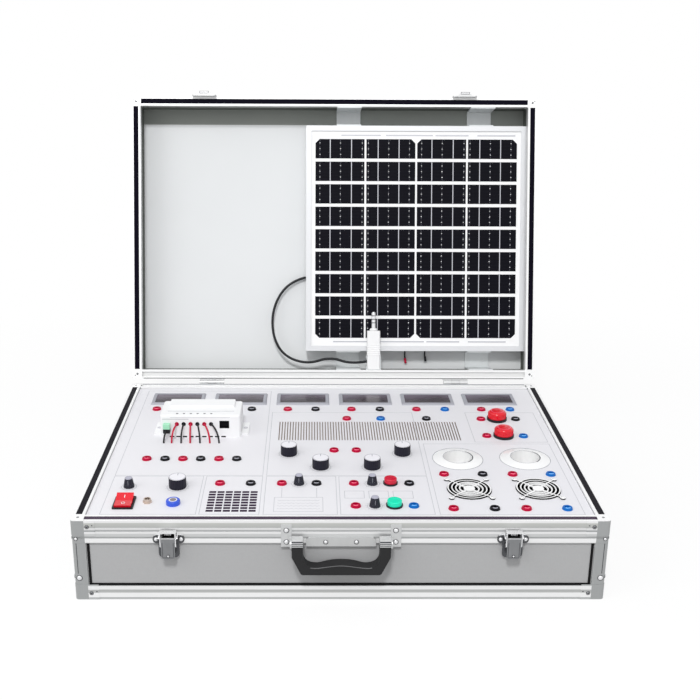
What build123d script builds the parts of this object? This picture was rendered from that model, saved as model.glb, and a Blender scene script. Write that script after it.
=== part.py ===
"""Solar energy trainer: an aluminium-framed teaching case with an instrument panel and a solar panel in its lid.

Frame: origin at the centre of the underside, X to the right, Y towards the hinges, Z up, in millimetres.
The lid stands open against its hinge stop, which is the rest pose of every joint.
"""

import math
import os

from build123d import *

# Case
CASE_W = 630.0
CASE_D = 438.0
BASE_H = 105.0
LID_H = 54.0
CORNER_R = 4.0
FIT = 0.1
BOARD_T = 9.0
FLOOR_T = 6.0
LID_BACK_T = 6.0
LID_OPEN = 106.0

# Size of the case at which the places on its panel and its front were measured: they keep their share of it
MEASURED_W = 630.0
MEASURED_D = 438.0

# Edge profiles of the case
SKIN = 2.0
RIM_W = 14.0
WEB_T = 4.2
RAIL_H = 29.5
LID_RAIL_H = 22.0
LID_FLANGE_H = 13.0
RIB_DEPTHS = (9.5, 14.0, 22.5)
RIB_CUT = 0.8
RIB_H = 1.2
STRIP_IN = 3.3
STRIP_W = 7.5
STRIP_DEEP = 2.6
STRIP_T = 2.3
EDGE_W = 17.0
EDGE_H = 18.0
CAP_T = 0.5
CAP_LEG = 28.0
CAP_TOP = 15.0
CAP_H = 20.0
RIM_GAP = 1.4

# Instrument panel
PANEL_DROP = 3.0
PANEL_T = 3.0
PANEL_GAP = 0.5
BATTEN_W = 13.0
BATTEN_H = 14.0
PANEL_TOP = BASE_H - PANEL_DROP
PANEL_UNDER = PANEL_TOP - PANEL_T
SLIP = 0.3

# Hinges
HINGE_X = 191.0
HINGE_W = 38.0
PIN_OUT = 5.5
PIN_R = 1.5
BARREL_R = 3.5
LEAF_H = 26.0
LEAF_T = 1.6
KNUCKLES = 3
KNUCKLE_GAP = 0.4
PIN_FIT = 0.05

# Lid lining and the solar panel in it
LINING_T = 1.4
LINING_BACK_T = 3.0
PV_W = 346.0
PV_LOW = 43.0
PV_ABOVE = 41.0
PV_L = CASE_D - PV_LOW - PV_ABOVE
PV_T = 20.0
PV_SIDE = 13.0
PV_X = CASE_W / 2 - PV_SIDE - PV_W / 2
PV_DEPTH = 17.0
PV_WALL = 2.0
PV_LIP_W = 8.0
PV_LIP_T = 1.5
PV_BACK_W = 14.0
LAMINATE_T = 4.0
CELL_COLUMNS = 4
CELL_ROWS = 9
CELL_GAP_X = 3.0
CELL_GAP_Y = 5.0
CELL_MARGIN_X = 14.5
CELL_MARGIN_Y = 20.65
CELL_W = (PV_W - 2 * CELL_MARGIN_X - (CELL_COLUMNS - 1) * CELL_GAP_X) / CELL_COLUMNS
CELL_H = (PV_L - 2 * CELL_MARGIN_Y - (CELL_ROWS - 1) * CELL_GAP_Y) / CELL_ROWS
CELL_T = 0.3
CELL_CORNER = 6.5
BRACKET_X = 104.0
BRACKET_SHIFT = -2.0
BRACKET_W = 38.0
BRACKET_T = 2.0
BOX_W = 62.0
BOX_L = 52.0
BOX_T = 21.0
BOX_X = PV_X - 68.0
BOX_Y = 165.0

# Cable from the junction box to the stowed plug. Its route is measured from the solar panel's centre line, from
# the lid's low edge and from the rim face.
CABLE_R = 2.0
CABLE_BOX_Z = -41.0
CABLE_PLUG_Y = 27.0
CABLE_ROUTE = (
    (-157.0, 165.0, -41.0), (-203.0, 150.0, -37.0), (-226.0, 112.0, -33.0), (-227.0, 68.0, -31.0),
    (-209.0, 34.0, -29.0), (-171.0, 21.0, -27.0), (-134.0, 33.0, -25.0), (-102.0, 22.0, -17.0),
)
PLUG_X = PV_X - 66.5
PLUG_W = 20.5
PLUG_T = 13.0
PLUG_L = 60.0
PLUG_PIN_R = 3.175
PLUG_PIN_L = 30.0
PLUG_DEPTH = 9.0
PLUG_CORNER = 2.5
PLUG_TIP_L = 4.0
CLIP_T = 1.2
CLIP_H = 22.0
CLIP_NOTCH = 9.0

# Meters
METERS = 6
METER_PITCH = 93.7
METER_ROW_AT = (-1.0, 161.5)
METER_W = 79.0
METER_L = 43.0
METER_BEZEL_H = 2.2
METER_BEZEL_W = 5.5
METER_BODY_W = 75.0
METER_BODY_L = 39.0
METER_BODY_H = 24.0
WINDOW_T = 1.5

# Safety sockets
SOCKET_R = 6.5
SOCKET_H = 2.4
SOCKET_BORE_R = 2.0
SOCKET_BODY_R = 4.6
SOCKET_BODY_H = 20.0
SOCKET_LAND = 1.6
RED_SOCKETS = (
    (-263, 123), (-163, 123), (-70, 123), (24, 123), (120, 123), (216, 123), (16, 88), (210, 87), (209, 28),
    (-252, -47), (-204.5, -47), (-157, -47), (-4.5, -20), (25.5, -20), (-149.5, -118), (-72, -118),
    (18.5, -118), (18.5, -177.5), (135, -92), (223, -92), (135.5, -184), (223, -184),
)
BLACK_SOCKETS = (
    (-213, 123), (-123, 123), (-29, 123), (66, 123), (131, 88), (260, 87), (-228, -47), (-181, -47),
    (-133.5, -47), (-111, -118), (-28.5, -118), (88, -118), (184.5, -92), (185, -184),
)
BLUE_SOCKETS = ((162, 123), (258.5, 123), (65, 88), (260, 27), (88.5, -177.5), (272, -92), (272, -184))

# Knobs, each with its potentiometer
BIG_KNOBS = {
    "range_knob_far_left": (-65, -30.5),
    "range_knob_near_left": (-23, -71),
    "range_knob_near_right": (44, -71),
    "range_knob_far_right": (86.5, -29.5),
    "supply_knob": (-201.5, -127),
}
SMALL_KNOBS = {
    "output_trim_knob": (-262, -127),
    "timer_trim_knob": (-50.5, -118.5),
    "stop_trim_knob": (41.5, -118.5),
    "start_trim_knob": (41.5, -177.5),
}
BIG_KNOB_R = 10.8
BIG_KNOB_H = 13.6
BIG_FLUTES = 20
SMALL_KNOB_R = 6.8
SMALL_TOP_R = 4.6
SMALL_KNOB_H = 12.0
SMALL_FLUTES = 12
KNOB_LIFT = 0.6
SHAFT_R = 3.0
SHAFT_FIT = 0.05
BUSH_R = 4.6
BUSH_OVER = 3.0
NUT_R = 6.2
SMALL_NUT_R = 5.4
NUT_H = 1.8
POT_R = 8.5
POT_H = 9.0

# Rocker switch and push buttons
ROCKER_AT = (-260.5, -170.5)
ROCKER_W = 21.0
ROCKER_L = 27.0
BEZEL_W = 25.0
BEZEL_L = 31.0
BEZEL_H = 2.0
ROCKER_RISE = 5.6
ROCKER_TILT = 9.0
ROCKER_PIVOT_Z = PANEL_TOP + 1.0
ROCKER_BODY_H = 22.0
ROCKER_DIP = 2.2
ROCKER_WELL = 8.0
ROCKER_PIN_R = 0.6
ROCKER_PIN_OUT = 1.2
BUTTONS = {"red_button": (64.5, -117, 8.0, 8.0), "green_button": (65.2, -176, 9.0, 7.8)}
BUTTON_TRAVEL = 3.0
COLLAR_W = 1.1
COLLAR_H = 2.2
BUTTON_ROUND = 1.4
STEM_R = 3.0
STEM_L = 8.0
SWITCH_H = 18.0
SWITCH_FLOOR = 3.0
RING_AT = (-201.5, -171.5)
RING_R = 8.6
RING_H = 5.6
RING_BORE_R = 5.2
RING_ROUND = 1.6
RING_TRAVEL = 2.0
JACK_AT = (-233.0, -168.0)
JACK_R = 5.6
JACK_H = 5.0
JACK_BORE_R = 3.2
JACK_BORE_L = 10.0
JACK_BODY_H = 12.0
JACK_PIN_R = 1.0

# Pilot lamps and lampholders
PILOT_LAMPS = ((233, 87), (232.5, 28))
PILOT_R = 14.2
PILOT_BASE_H = 3.6
PILOT_H = 12.6
PILOT_BODY_H = 22.0
LAMPHOLDERS = ((158.7, -45), (248, -45))
HOLDER_R = 33.0
HOLDER_RIM_R = 21.0
HOLDER_BORE_R = 19.0
HOLDER_H = 3.0
HOLDER_DEPTH = 18.0
HOLDER_WALL = 2.0

# Fans
FANS = {"fan_1": (161.5, -133.0), "fan_2": (247.5, -133.0)}
FAN_SIZE = 60.0
FAN_T = 15.0
FAN_BORE_R = 28.0
FAN_HOLE_PITCH = 50.0
FAN_HOLE_R = 2.2
FAN_HUB_R = 11.0
FAN_HUB_H = 9.0
FAN_BLADES = 7
FAN_TIP_R = 26.5
BLADE_T = 1.3
BLADE_CHORD_ROOT = 10.0
BLADE_CHORD_TIP = 15.0
BLADE_PITCH_ROOT = 48.0
BLADE_PITCH_TIP = 30.0
AXLE_R = 1.5
STRUTS = 4
STRUT_W = 3.0
GUARD_RADII = (27.2, 22.4, 17.6, 12.8)
GUARD_WIRE = 1.6
GUARD_HUB_R = 7.0
GUARD_LUG_R = 3.4

# Vent slots over the inverter and sound slots over the buzzer
VENT_LOW = (-81.5, 14.0)
VENT_SIZE = (254.0, 63.5)
VENT_PITCH = 3.8
VENT_SLOT_W = 1.5
GRILLE_AT = (-131.0, -165.0)
GRILLE_COLUMNS = 6
GRILLE_ROWS = 8
GRILLE_PITCH_X = 10.2
GRILLE_PITCH_Y = 6.9
GRILLE_HOLE = (8.6, 4.9)

# Charge controller on the panel. Its own places are measured from the middle of its foot.
CTRL_AT = (-188.0, 49.0)
CTRL_W = 131.0
CTRL_L = 54.0
CTRL_BODY_W = 111.0
CTRL_CORNER = 4.0
CTRL_ROUND = 2.0
CTRL_FLANGE_T = 3.0
CTRL_FLANGE_L = 38.0
CTRL_HOLE_R = 2.2
CTRL_HOLE_IN = 5.0
CTRL_BODY_H = 33.0
CTRL_RIDGE_W = 92.0
CTRL_RIDGE_L = 24.0
CTRL_RIDGE_H = 3.5
TERMINALS = 6
TERMINAL_X = -32.2
TERMINAL_PITCH = 9.4
TERMINAL_Z = 20.4
TERMINAL_R = 2.6
TERMINAL_DEEP = 3.0
USB_X = 33.0
USB_Z = 19.6
USB_W = 13.4
USB_H = 11.2
USB_DEEP = 3.0
GREEN_X = -46.0
GREEN_W = 9.2
GREEN_Z = 15.5
GREEN_H = 12.8
GREEN_OUT = 7.0
FOOT_SLOTS = 9
FOOT_SLOT = (6.3, 2.0, 1.6)
FOOT_SLOT_PITCH = 8.9
FOOT_SLOT_Z = 1.6
FOOT_SLOTS_X = -4.0
LEAD_R = 1.2
LEAD_OUT = 17.5
LEAD_ENDS = (-38.0, -25.1, -12.7, 0.7, 14.2, 26.8)
LEAD_BEND_BACK = 0.8
LEAD_BEND_DROP = 3.0
GREEN_LEAD_X = -48.8
GREEN_LEAD_BACK = 0.5
GREEN_LEAD_DROP = 1.0

# Pieces under the panel
BATTERY = (151.0, 94.0, 65.0)
BATTERY_AT = (-190.0, 60.0)
TERMINAL_TAB = (6.3, 8.0, 0.8)
INVERTER = (150.0, 110.0, 46.0)
INVERTER_AT = (46.0, 46.0)
INVERTER_FIN_PITCH = 10.0
INVERTER_FIN = (3.0, 8.0)
BUZZER_R = 21.0
BUZZER_H = 11.0

# Latches on the front, and their strikes on the lid
LATCH_X = 201.5
LATCH_PLATE_W = 24.0
LATCH_PLATE_LOW = 57.5
LATCH_PLATE_HIGH = 87.0
LATCH_EAR_W = 37.0
LATCH_EAR_LOW = 76.0
LATCH_PLATE_T = 1.2
LEVER_W = 16.0
LEVER_LOW = 60.0
LEVER_TOP = 87.5
LEVER_STAND = 9.5
LATCH_SHEET = 1.2
LATCH_PIN_OUT = 5.5
LATCH_PIN_Z = 84.0
LATCH_PIN_R = 1.2
LUG_R = 4.2
CLAW_PIN_DROP = 9.0
CLAW_TOP = 94.0
CLAW_FRONT = 9.0
CLAW_BACK = 2.3
CLAW_ARM_W = 1.9
STRIKE_W = 37.0
STRIKE_H = 18.0
STRIKE_T = 1.5
STRIKE_REACH = 9.0
STRIKE_LIP = 3.0

# Carry handle
HANDLE_HALF_W = 57.5
HANDLE_LEG = 12.7
HANDLE_PIVOT_Z = 80.0
HANDLE_TOP = 86.0
HANDLE_KINK_Z = 66.0
HANDLE_HEEL_X = 46.5
HANDLE_LOW_Z = 43.0
HANDLE_T = 14.0
HANDLE_PIVOT_OUT = 10.0
GRIP_CENTRE_Z = 56.5
GRIP_SIDE_Z = 52.0
GRIP_SIDE_X = 31.0
HANDLE_PIN_R = 2.5
EAR_W = 12.5
EAR_LOW = 72.0
EAR_HIGH = 100.5
EAR_T = 2.0
BRIDGE_HALF_W = 41.0
BRIDGE_LOW = 72.5
BRIDGE_HIGH = 84.0

LOW = (Align.CENTER, Align.CENTER, Align.MIN)
HIGH = (Align.CENTER, Align.CENTER, Align.MAX)

# The lid's own frame: its rim face is the XY plane, Y runs up the lid and Z out of its open side
LEAN = math.radians(LID_OPEN - 90.0)
UP_LID = Vector(0, math.sin(LEAN), math.cos(LEAN))
OUT_OF_LID = Vector(0, -math.cos(LEAN), math.sin(LEAN))
HINGE_PIN = Vector(0, CASE_D / 2 + PIN_OUT, BASE_H + RIM_GAP / 2)
LID_FRAME = Plane(
    origin=HINGE_PIN + UP_LID * (CASE_D / 2 + PIN_OUT) - OUT_OF_LID * (RIM_GAP / 2),
    x_dir=(1, 0, 0),
    z_dir=OUT_OF_LID,
)
LID_BACK = -(LID_H - LID_BACK_T - LINING_BACK_T)


def write(name, *pieces):
    """Write the solids of one node as one STEP file."""
    solids = [solid for piece in pieces for solid in piece.solids()]
    export_step(Compound(solids), f"parts/{name}.step")


def write_lid(name, *pieces):
    """Write a node that was drawn in the lid's own frame."""
    write(name, *[LID_FRAME.location * piece for piece in pieces])


def share_x(length):
    """A length along the case at its share of the case's width."""
    return length * CASE_W / MEASURED_W


def share_y(length):
    """A length across the case at its share of the case's depth."""
    return length * CASE_D / MEASURED_D


def spot(place):
    """A place on the instrument panel at its share of the case's size."""
    return share_x(place[0]), share_y(place[1])


def spread(places):
    """Several places on the instrument panel at their shares of the case's size."""
    return [spot(place) for place in places]


def fused(pieces):
    """One part out of pieces that meet or overlap."""
    pieces = list(pieces)
    return pieces[0] + pieces[1:] if len(pieces) > 1 else pieces[0]


def hoop(length, width, corner, wall, low, high):
    """A rectangular hoop from its outer size, outer corner radius, wall and heights."""
    inner_corner = max(corner - wall, 0.5)
    outline = RectangleRounded(length, width, corner)
    opening = RectangleRounded(length - 2 * wall, width - 2 * wall, inner_corner)
    return Pos(0, 0, low) * extrude(outline - opening, high - low)


def rod(radius, start, end):
    """A round bar between two points."""
    start, end = Vector(*start), Vector(*end)
    return Plane(origin=start, z_dir=end - start) * Cylinder(radius, (end - start).length, align=LOW)


def corners():
    """The signs of the four corners of the case."""
    return [(sx, sy) for sx in (-1, 1) for sy in (-1, 1)]


def corner_block(sx, sy, leg, low, high):
    """A block over one corner of the case, one millimetre proud of its sides."""
    at = Pos(sx * (CASE_W / 2 + 1 - leg / 2), sy * (CASE_D / 2 + 1 - leg / 2), low)
    return at * Box(leg + 2, leg + 2, high - low, align=LOW)


# Case


def rim_extrusion(rail, flange):
    """The hoop of edge profile round an opening, with its rim face at z = 0."""
    web = hoop(CASE_W, CASE_D, CORNER_R, RIM_W, -WEB_T, 0)
    outer = hoop(CASE_W, CASE_D, CORNER_R, SKIN, -rail, 0)
    inset = 2 * (RIM_W - SKIN)
    inner = hoop(CASE_W - inset, CASE_D - inset, 1.0, SKIN, -flange, 0)
    profile = web + outer + inner
    groove = 2 * STRIP_IN
    profile -= hoop(CASE_W - groove, CASE_D - groove, 1.0, STRIP_W, -STRIP_DEEP, 1)
    for depth in RIB_DEPTHS:
        if depth + RIB_H < rail:
            profile -= hoop(CASE_W + 2, CASE_D + 2, CORNER_R + 1, 1 + RIB_CUT, -depth - RIB_H / 2, -depth + RIB_H / 2)
    return profile


def rim_strips(front):
    """Dark sealing strips that lie in the rim groove, between the corner caps."""
    middle = STRIP_IN + STRIP_W / 2
    width = STRIP_W - 2 * FIT
    low = -STRIP_DEEP
    run_y = CASE_D - 2 * CAP_TOP - 2 * SLIP
    strips = [
        Pos(sx * (CASE_W / 2 - middle), 0, low) * Box(width, run_y, STRIP_T, align=LOW) for sx in (-1, 1)
    ]
    run_x = CASE_W - 2 * CAP_TOP - 2 * SLIP
    strips.append(Pos(0, front * (CASE_D / 2 - middle), low) * Box(run_x, width, STRIP_T, align=LOW))
    return strips


def corner_caps(height, top):
    """Pressed caps over the corners of a rim at z = 0, each with a leg down both sides."""
    big = RectangleRounded(CASE_W + 2 * CAP_T, CASE_D + 2 * CAP_T, CORNER_R + CAP_T)
    bare = RectangleRounded(CASE_W, CASE_D, CORNER_R)
    skin = Pos(0, 0, -height) * (extrude(big, height + top) - extrude(bare, height))
    caps = []
    for sx, sy in corners():
        cap = skin & corner_block(sx, sy, CAP_LEG, -height, 0)
        if top:
            cap += skin & corner_block(sx, sy, CAP_TOP, 0, top)
        caps.append(cap)
    return caps


def edge_frame(total, rail):
    """The angle profile round the closed side of a tray at z = 0 and the corner posts up to the rim rail."""
    frame = hoop(CASE_W, CASE_D, CORNER_R, EDGE_W, 0, SKIN) + hoop(CASE_W, CASE_D, CORNER_R, SKIN, 0, EDGE_H)
    wall = hoop(CASE_W, CASE_D, CORNER_R, SKIN, EDGE_H + FIT, total - rail - FIT)
    posts = [wall & corner_block(sx, sy, EDGE_W - 1, 0, total) for sx, sy in corners()]
    return [frame, *posts]


def tray(total, floor):
    """The board box inside the profiles, closed at z = 0, with a rebate for the edge angle."""
    outer = 2 * (SKIN + FIT)
    length, width = CASE_W - outer, CASE_D - outer
    top = total - WEB_T - FIT
    box = extrude(RectangleRounded(length, width, CORNER_R - SKIN), top)
    box -= Pos(0, 0, floor) * Box(length - 2 * BOARD_T, width - 2 * BOARD_T, total, align=LOW)
    box -= hoop(CASE_W + 2, CASE_D + 2, CORNER_R, EDGE_W + 1 + FIT, -1, SKIN + FIT)
    return box


def panel_battens():
    """Wooden battens round the inside of the base that carry the instrument panel."""
    inside = SKIN + FIT + BOARD_T
    length, width = CASE_W - 2 * inside, CASE_D - 2 * inside
    shelf = hoop(length, width, 0.6, BATTEN_W, PANEL_UNDER - BATTEN_H, PANEL_UNDER - FIT)
    lip = 2 * (RIM_W - inside + FIT)
    clear = hoop(length + 1, width + 1, 0.6, (lip + 1) / 2, PANEL_UNDER - 2, PANEL_UNDER + 1)
    return shelf - clear


def make_base_case():
    """The base tray with its battens, profiles, caps and strips."""
    write("base_shell", tray(BASE_H, FLOOR_T), panel_battens())
    at_rim = Pos(0, 0, BASE_H)
    write("base_rim_frame", at_rim * rim_extrusion(RAIL_H, PANEL_DROP + PANEL_T - 2 * FIT))
    foot_caps = [Rot(180, 0, 0) * cap for cap in corner_caps(CAP_H, 0)]
    caps = [at_rim * cap for cap in corner_caps(CAP_H, CAP_T)]
    write("base_edge_frame", *edge_frame(BASE_H, RAIL_H), *caps, *foot_caps)
    write("base_rim_strips", *[at_rim * strip for strip in rim_strips(-1)])


def make_lid_case():
    """The lid tray with its profiles, caps, strips and inner lining, drawn with the rim face at z = 0."""
    closed_side = Pos(0, 0, -LID_H)
    write_lid("lid_shell", closed_side * tray(LID_H, LID_BACK_T))
    write_lid("lid_rim_frame", rim_extrusion(LID_RAIL_H, LID_FLANGE_H))
    frame = [closed_side * piece for piece in edge_frame(LID_H, LID_RAIL_H)]
    write_lid("lid_edge_frame", *frame, *corner_caps(CAP_H, CAP_T))
    write_lid("lid_rim_strips", *rim_strips(1))
    inside = SKIN + BOARD_T + 2 * FIT
    length, width = CASE_W - 2 * inside, CASE_D - 2 * inside
    low = -(LID_H - LID_BACK_T) + FIT
    lining = hoop(length, width, 0.6, LINING_T, low, -LID_FLANGE_H - SLIP)
    lining += Pos(0, 0, low) * Box(length - 1, width - 1, LID_BACK - low, align=LOW)
    write_lid("lid_lining", lining)


# Hinges


def knuckle_spans(owner):
    """The stretches along the pin that one leaf's knuckles take: 0 for the base, 1 for the lid."""
    pitch = HINGE_W / KNUCKLES
    spans = []
    for index in range(KNUCKLES):
        if index % 2 == owner:
            spans.append((-HINGE_W / 2 + (index + 0.5) * pitch, pitch - KNUCKLE_GAP))
    return spans


def hinge_leaf(owner, side):
    """A leaf in the plane of the case back, with the pin along X at the origin. Side is -1 below, 1 above."""
    back = -PIN_OUT
    start = RIM_GAP / 2 + CAP_T
    plate_at = Pos(0, back + LEAF_T / 2, side * (start + LEAF_H / 2))
    leaf = plate_at * Box(HINGE_W, LEAF_T, LEAF_H)
    for middle, length in knuckle_spans(owner):
        barrel = Pos(middle, 0, 0) * Rot(0, 90, 0) * Cylinder(BARREL_R, length)
        depth = PIN_OUT
        web = Pos(middle, back + depth / 2, side * (start + LEAF_T)) * Box(length, depth, 2 * LEAF_T)
        leaf += barrel + web
        leaf -= Pos(middle, 0, 0) * Rot(0, 90, 0) * Cylinder(PIN_R + PIN_FIT, length + 2)
    clear = BARREL_R + KNUCKLE_GAP
    for middle, length in knuckle_spans(1 - owner):
        leaf -= Pos(middle, 0, 0) * Rot(0, 90, 0) * Cylinder(clear, length + 2 * KNUCKLE_GAP)
    return leaf


def make_hinges():
    """Two butt hinges on the back: base leaves with their pins, and lid leaves."""
    fixed, moving = [], []
    for sx in (-1, 1):
        at_pin = Pos(sx * share_x(HINGE_X), HINGE_PIN.Y, HINGE_PIN.Z)
        fixed.append(at_pin * hinge_leaf(0, -1))
        fixed.append(at_pin * Rot(0, 90, 0) * Cylinder(PIN_R, HINGE_W))
        moving.append(at_pin * Rot(-LID_OPEN, 0, 0) * hinge_leaf(1, 1))
    write("hinge_base_leaves", *fixed)
    write("hinge_lid_leaves", *moving)


# Instrument panel


def grid_points(centre, columns, rows, pitch_x, pitch_y):
    """Points of a centred rectangular grid."""
    x, y = centre
    return [
        (x + (i - (columns - 1) / 2) * pitch_x, y + (j - (rows - 1) / 2) * pitch_y)
        for i in range(columns)
        for j in range(rows)
    ]


def meter_centres():
    """Centres of the row of meters."""
    return grid_points(spot(METER_ROW_AT), METERS, 1, share_x(METER_PITCH), 0)


def lead_holes():
    """Where the controller's leads go down through the panel."""
    x, y = spot(CTRL_AT)
    return [(x + end, y - CTRL_L / 2 - LEAD_OUT) for end in (*LEAD_ENDS, GREEN_LEAD_X)]


def fan_holes(x, y):
    """Screw holes of a fan."""
    return grid_points((x, y), 2, 2, FAN_HOLE_PITCH, FAN_HOLE_PITCH)


def panel_openings():
    """The outlines that are cut out of the instrument panel."""
    cuts = [Pos(x, y) * Rectangle(METER_BODY_W + 1, METER_BODY_L + 1) for x, y in meter_centres()]
    for points in (RED_SOCKETS, BLACK_SOCKETS, BLUE_SOCKETS):
        cuts += [Pos(x, y) * Circle(SOCKET_BODY_R + FIT) for x, y in spread(points)]
    for knobs in (BIG_KNOBS, SMALL_KNOBS):
        cuts += [Pos(x, y) * Circle(BUSH_R + FIT) for x, y in spread(knobs.values())]
    cuts += [Pos(x, y) * Circle(HOLDER_BORE_R + HOLDER_WALL + SLIP) for x, y in spread(LAMPHOLDERS)]
    fans = spread(FANS.values())
    cuts += [Pos(x, y) * Circle(FAN_BORE_R) for x, y in fans]
    cuts += [Pos(x, y) * Circle(FAN_HOLE_R) for fan in fans for x, y in fan_holes(*fan)]
    cuts.append(Pos(*spot(ROCKER_AT)) * Rectangle(BEZEL_W - 3 + SLIP, BEZEL_L - 2 + SLIP))
    cuts += [Pos(*spot(button)) * Circle(button[2] + FIT) for button in BUTTONS.values()]
    cuts.append(Pos(*spot(RING_AT)) * Circle(RING_BORE_R + COLLAR_W + FIT))
    cuts.append(Pos(*spot(JACK_AT)) * Circle(JACK_R - COLLAR_W + FIT))
    cuts += [Pos(x, y) * Circle(PILOT_R / 2 + FIT) for x, y in spread(PILOT_LAMPS)]
    cuts += [Pos(x, y) * Circle(LEAD_R + SLIP) for x, y in lead_holes()]
    left, near = spot(VENT_LOW)
    length, width = spot(VENT_SIZE)
    slots = grid_points((left + length / 2, near + width / 2), int(length / VENT_PITCH) + 1, 1, VENT_PITCH, 0)
    cuts += [Pos(x, y) * Rectangle(VENT_SLOT_W, width) for x, y in slots]
    holes = grid_points(spot(GRILLE_AT), GRILLE_COLUMNS, GRILLE_ROWS, GRILLE_PITCH_X, GRILLE_PITCH_Y)
    cuts += [Pos(x, y) * Rectangle(*GRILLE_HOLE) for x, y in holes]
    return cuts


def make_instrument_panel():
    """The flush plate that carries every instrument."""
    inset = 2 * (RIM_W + PANEL_GAP)
    plate = Rectangle(CASE_W - inset, CASE_D - inset) - panel_openings()
    write("instrument_panel", Pos(0, 0, PANEL_UNDER) * extrude(plate, PANEL_T))


def make_meters():
    """Panel meters: a bezel on the panel with the case behind it, and a smoked window."""
    cases, windows = [], []
    glass_w, glass_l = METER_W - 2 * METER_BEZEL_W, METER_L - 2 * METER_BEZEL_W
    for x, y in meter_centres():
        bezel = extrude(Rectangle(METER_W, METER_L), METER_BEZEL_H, taper=35)
        bezel -= Pos(0, 0, METER_BEZEL_H - WINDOW_T) * Box(glass_w, glass_l, WINDOW_T + 1, align=LOW)
        body = Box(METER_BODY_W, METER_BODY_L, METER_BODY_H + PANEL_T, align=HIGH)
        cases.append(Pos(x, y, PANEL_TOP) * (bezel + body))
        window = Box(glass_w - 2 * FIT, glass_l - 2 * FIT, WINDOW_T - 2 * SLIP, align=LOW)
        windows.append(Pos(x, y, PANEL_TOP + METER_BEZEL_H - WINDOW_T) * window)
    write("meter_cases", *cases)
    write("meter_windows", *windows)


def safety_socket():
    """A 4 mm safety socket with its collar on the panel and its blind bore."""
    collar = Cone(SOCKET_R, SOCKET_R - 0.7, SOCKET_H, align=LOW)
    body = Cylinder(SOCKET_BODY_R, SOCKET_BODY_H + PANEL_T, align=HIGH)
    bore = Pos(0, 0, SOCKET_H) * Cylinder(SOCKET_BORE_R, SOCKET_BODY_H, align=HIGH)
    well = Pos(0, 0, SOCKET_H - SOCKET_LAND) * Cylinder(SOCKET_BORE_R + SOCKET_LAND, SOCKET_LAND, align=LOW)
    return collar + body - bore - well


def make_sockets():
    """All the safety sockets, one node for each colour."""
    socket = safety_socket()
    for name, points in (("red", RED_SOCKETS), ("black", BLACK_SOCKETS), ("blue", BLUE_SOCKETS)):
        write(f"sockets_{name}", *[Pos(x, y, PANEL_TOP) * socket for x, y in spread(points)])


# Knobs and potentiometers


def fluted_knob(low_r, top_r, height, flutes, flute_r, dish_r):
    """A knob standing on z = 0 with shallow flutes, a dished underside and a blind shaft hole."""
    knob = Cone(low_r, top_r, height, align=LOW) if low_r != top_r else Cylinder(low_r, height, align=LOW)
    knob = chamfer(knob.faces().sort_by(Axis.Z)[-1].edges(), 0.5)
    for index in range(flutes):
        angle = math.radians(360 / flutes * index)
        reach = low_r + flute_r * 0.55
        foot = (reach * math.cos(angle), reach * math.sin(angle), -1)
        reach = top_r + flute_r * 0.55
        head = (reach * math.cos(angle), reach * math.sin(angle), height * 0.93)
        knob -= rod(flute_r, foot, head)
    knob -= Cylinder(dish_r, BUSH_OVER + 0.6, align=LOW)
    return knob - Cylinder(SHAFT_R + SHAFT_FIT, height * 0.75, align=LOW)


def potentiometer(nut_r):
    """A potentiometer under the panel with its bush through it and its nut on top, bored for the shaft."""
    can = Pos(0, 0, -PANEL_T) * Cylinder(POT_R, POT_H, align=HIGH)
    bush = Pos(0, 0, -PANEL_T) * Cylinder(BUSH_R, PANEL_T + BUSH_OVER, align=LOW)
    nut = extrude(RegularPolygon(nut_r, 6), NUT_H)
    deep = PANEL_T + POT_H - 2
    return can + bush + nut - Pos(0, 0, -deep) * Cylinder(SHAFT_R + SHAFT_FIT, deep + BUSH_OVER + 1, align=LOW)


def shaft(height):
    """The turning shaft from inside the potentiometer up into the knob."""
    deep = PANEL_T + POT_H - 2 - SLIP
    return Pos(0, 0, -deep) * Cylinder(SHAFT_R, deep + KNOB_LIFT + height * 0.75 - SLIP, align=LOW)


def make_knobs():
    """Five large and four small knobs, each with its own shaft, and the potentiometers under them."""
    pots = []
    sets = (
        (BIG_KNOBS, BIG_KNOB_R, BIG_KNOB_R, BIG_KNOB_H, BIG_FLUTES, 0.9, NUT_R),
        (SMALL_KNOBS, SMALL_KNOB_R, SMALL_TOP_R, SMALL_KNOB_H, SMALL_FLUTES, 0.8, SMALL_NUT_R),
    )
    for knobs, low_r, top_r, height, flutes, flute_r, nut_r in sets:
        knob = fluted_knob(low_r, top_r, height, flutes, flute_r, nut_r + SLIP)
        for name, place in knobs.items():
            at = Pos(*spot(place), PANEL_TOP)
            write(name, at * Pos(0, 0, KNOB_LIFT) * knob, at * shaft(height))
            pots.append(at * potentiometer(nut_r))
    write("potentiometers", *pots)


# Switches


def rocker_cap():
    """The rocker about its pivot along X at the origin, with its two finger faces at a shallow angle."""
    half = ROCKER_L / 2 - 0.6
    with BuildSketch(Plane.YZ) as section:
        with BuildLine():
            Polyline((-half + 2, -4), (-half, 1), (-half, ROCKER_RISE), (0, ROCKER_RISE - ROCKER_DIP))
            Polyline((0, ROCKER_RISE - ROCKER_DIP), (half, ROCKER_RISE), (half, 1), (half - 2, -4))
            RadiusArc((half - 2, -4), (-half + 2, -4), 30)
        make_face()
    cap = extrude(section.sketch, ROCKER_W / 2 - SLIP, both=True)
    reach = ROCKER_W / 2 + ROCKER_PIN_OUT - SLIP
    return Rot(ROCKER_TILT, 0, 0) * cap + rod(ROCKER_PIN_R, (-reach, 0, 0), (reach, 0, 0))


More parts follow.
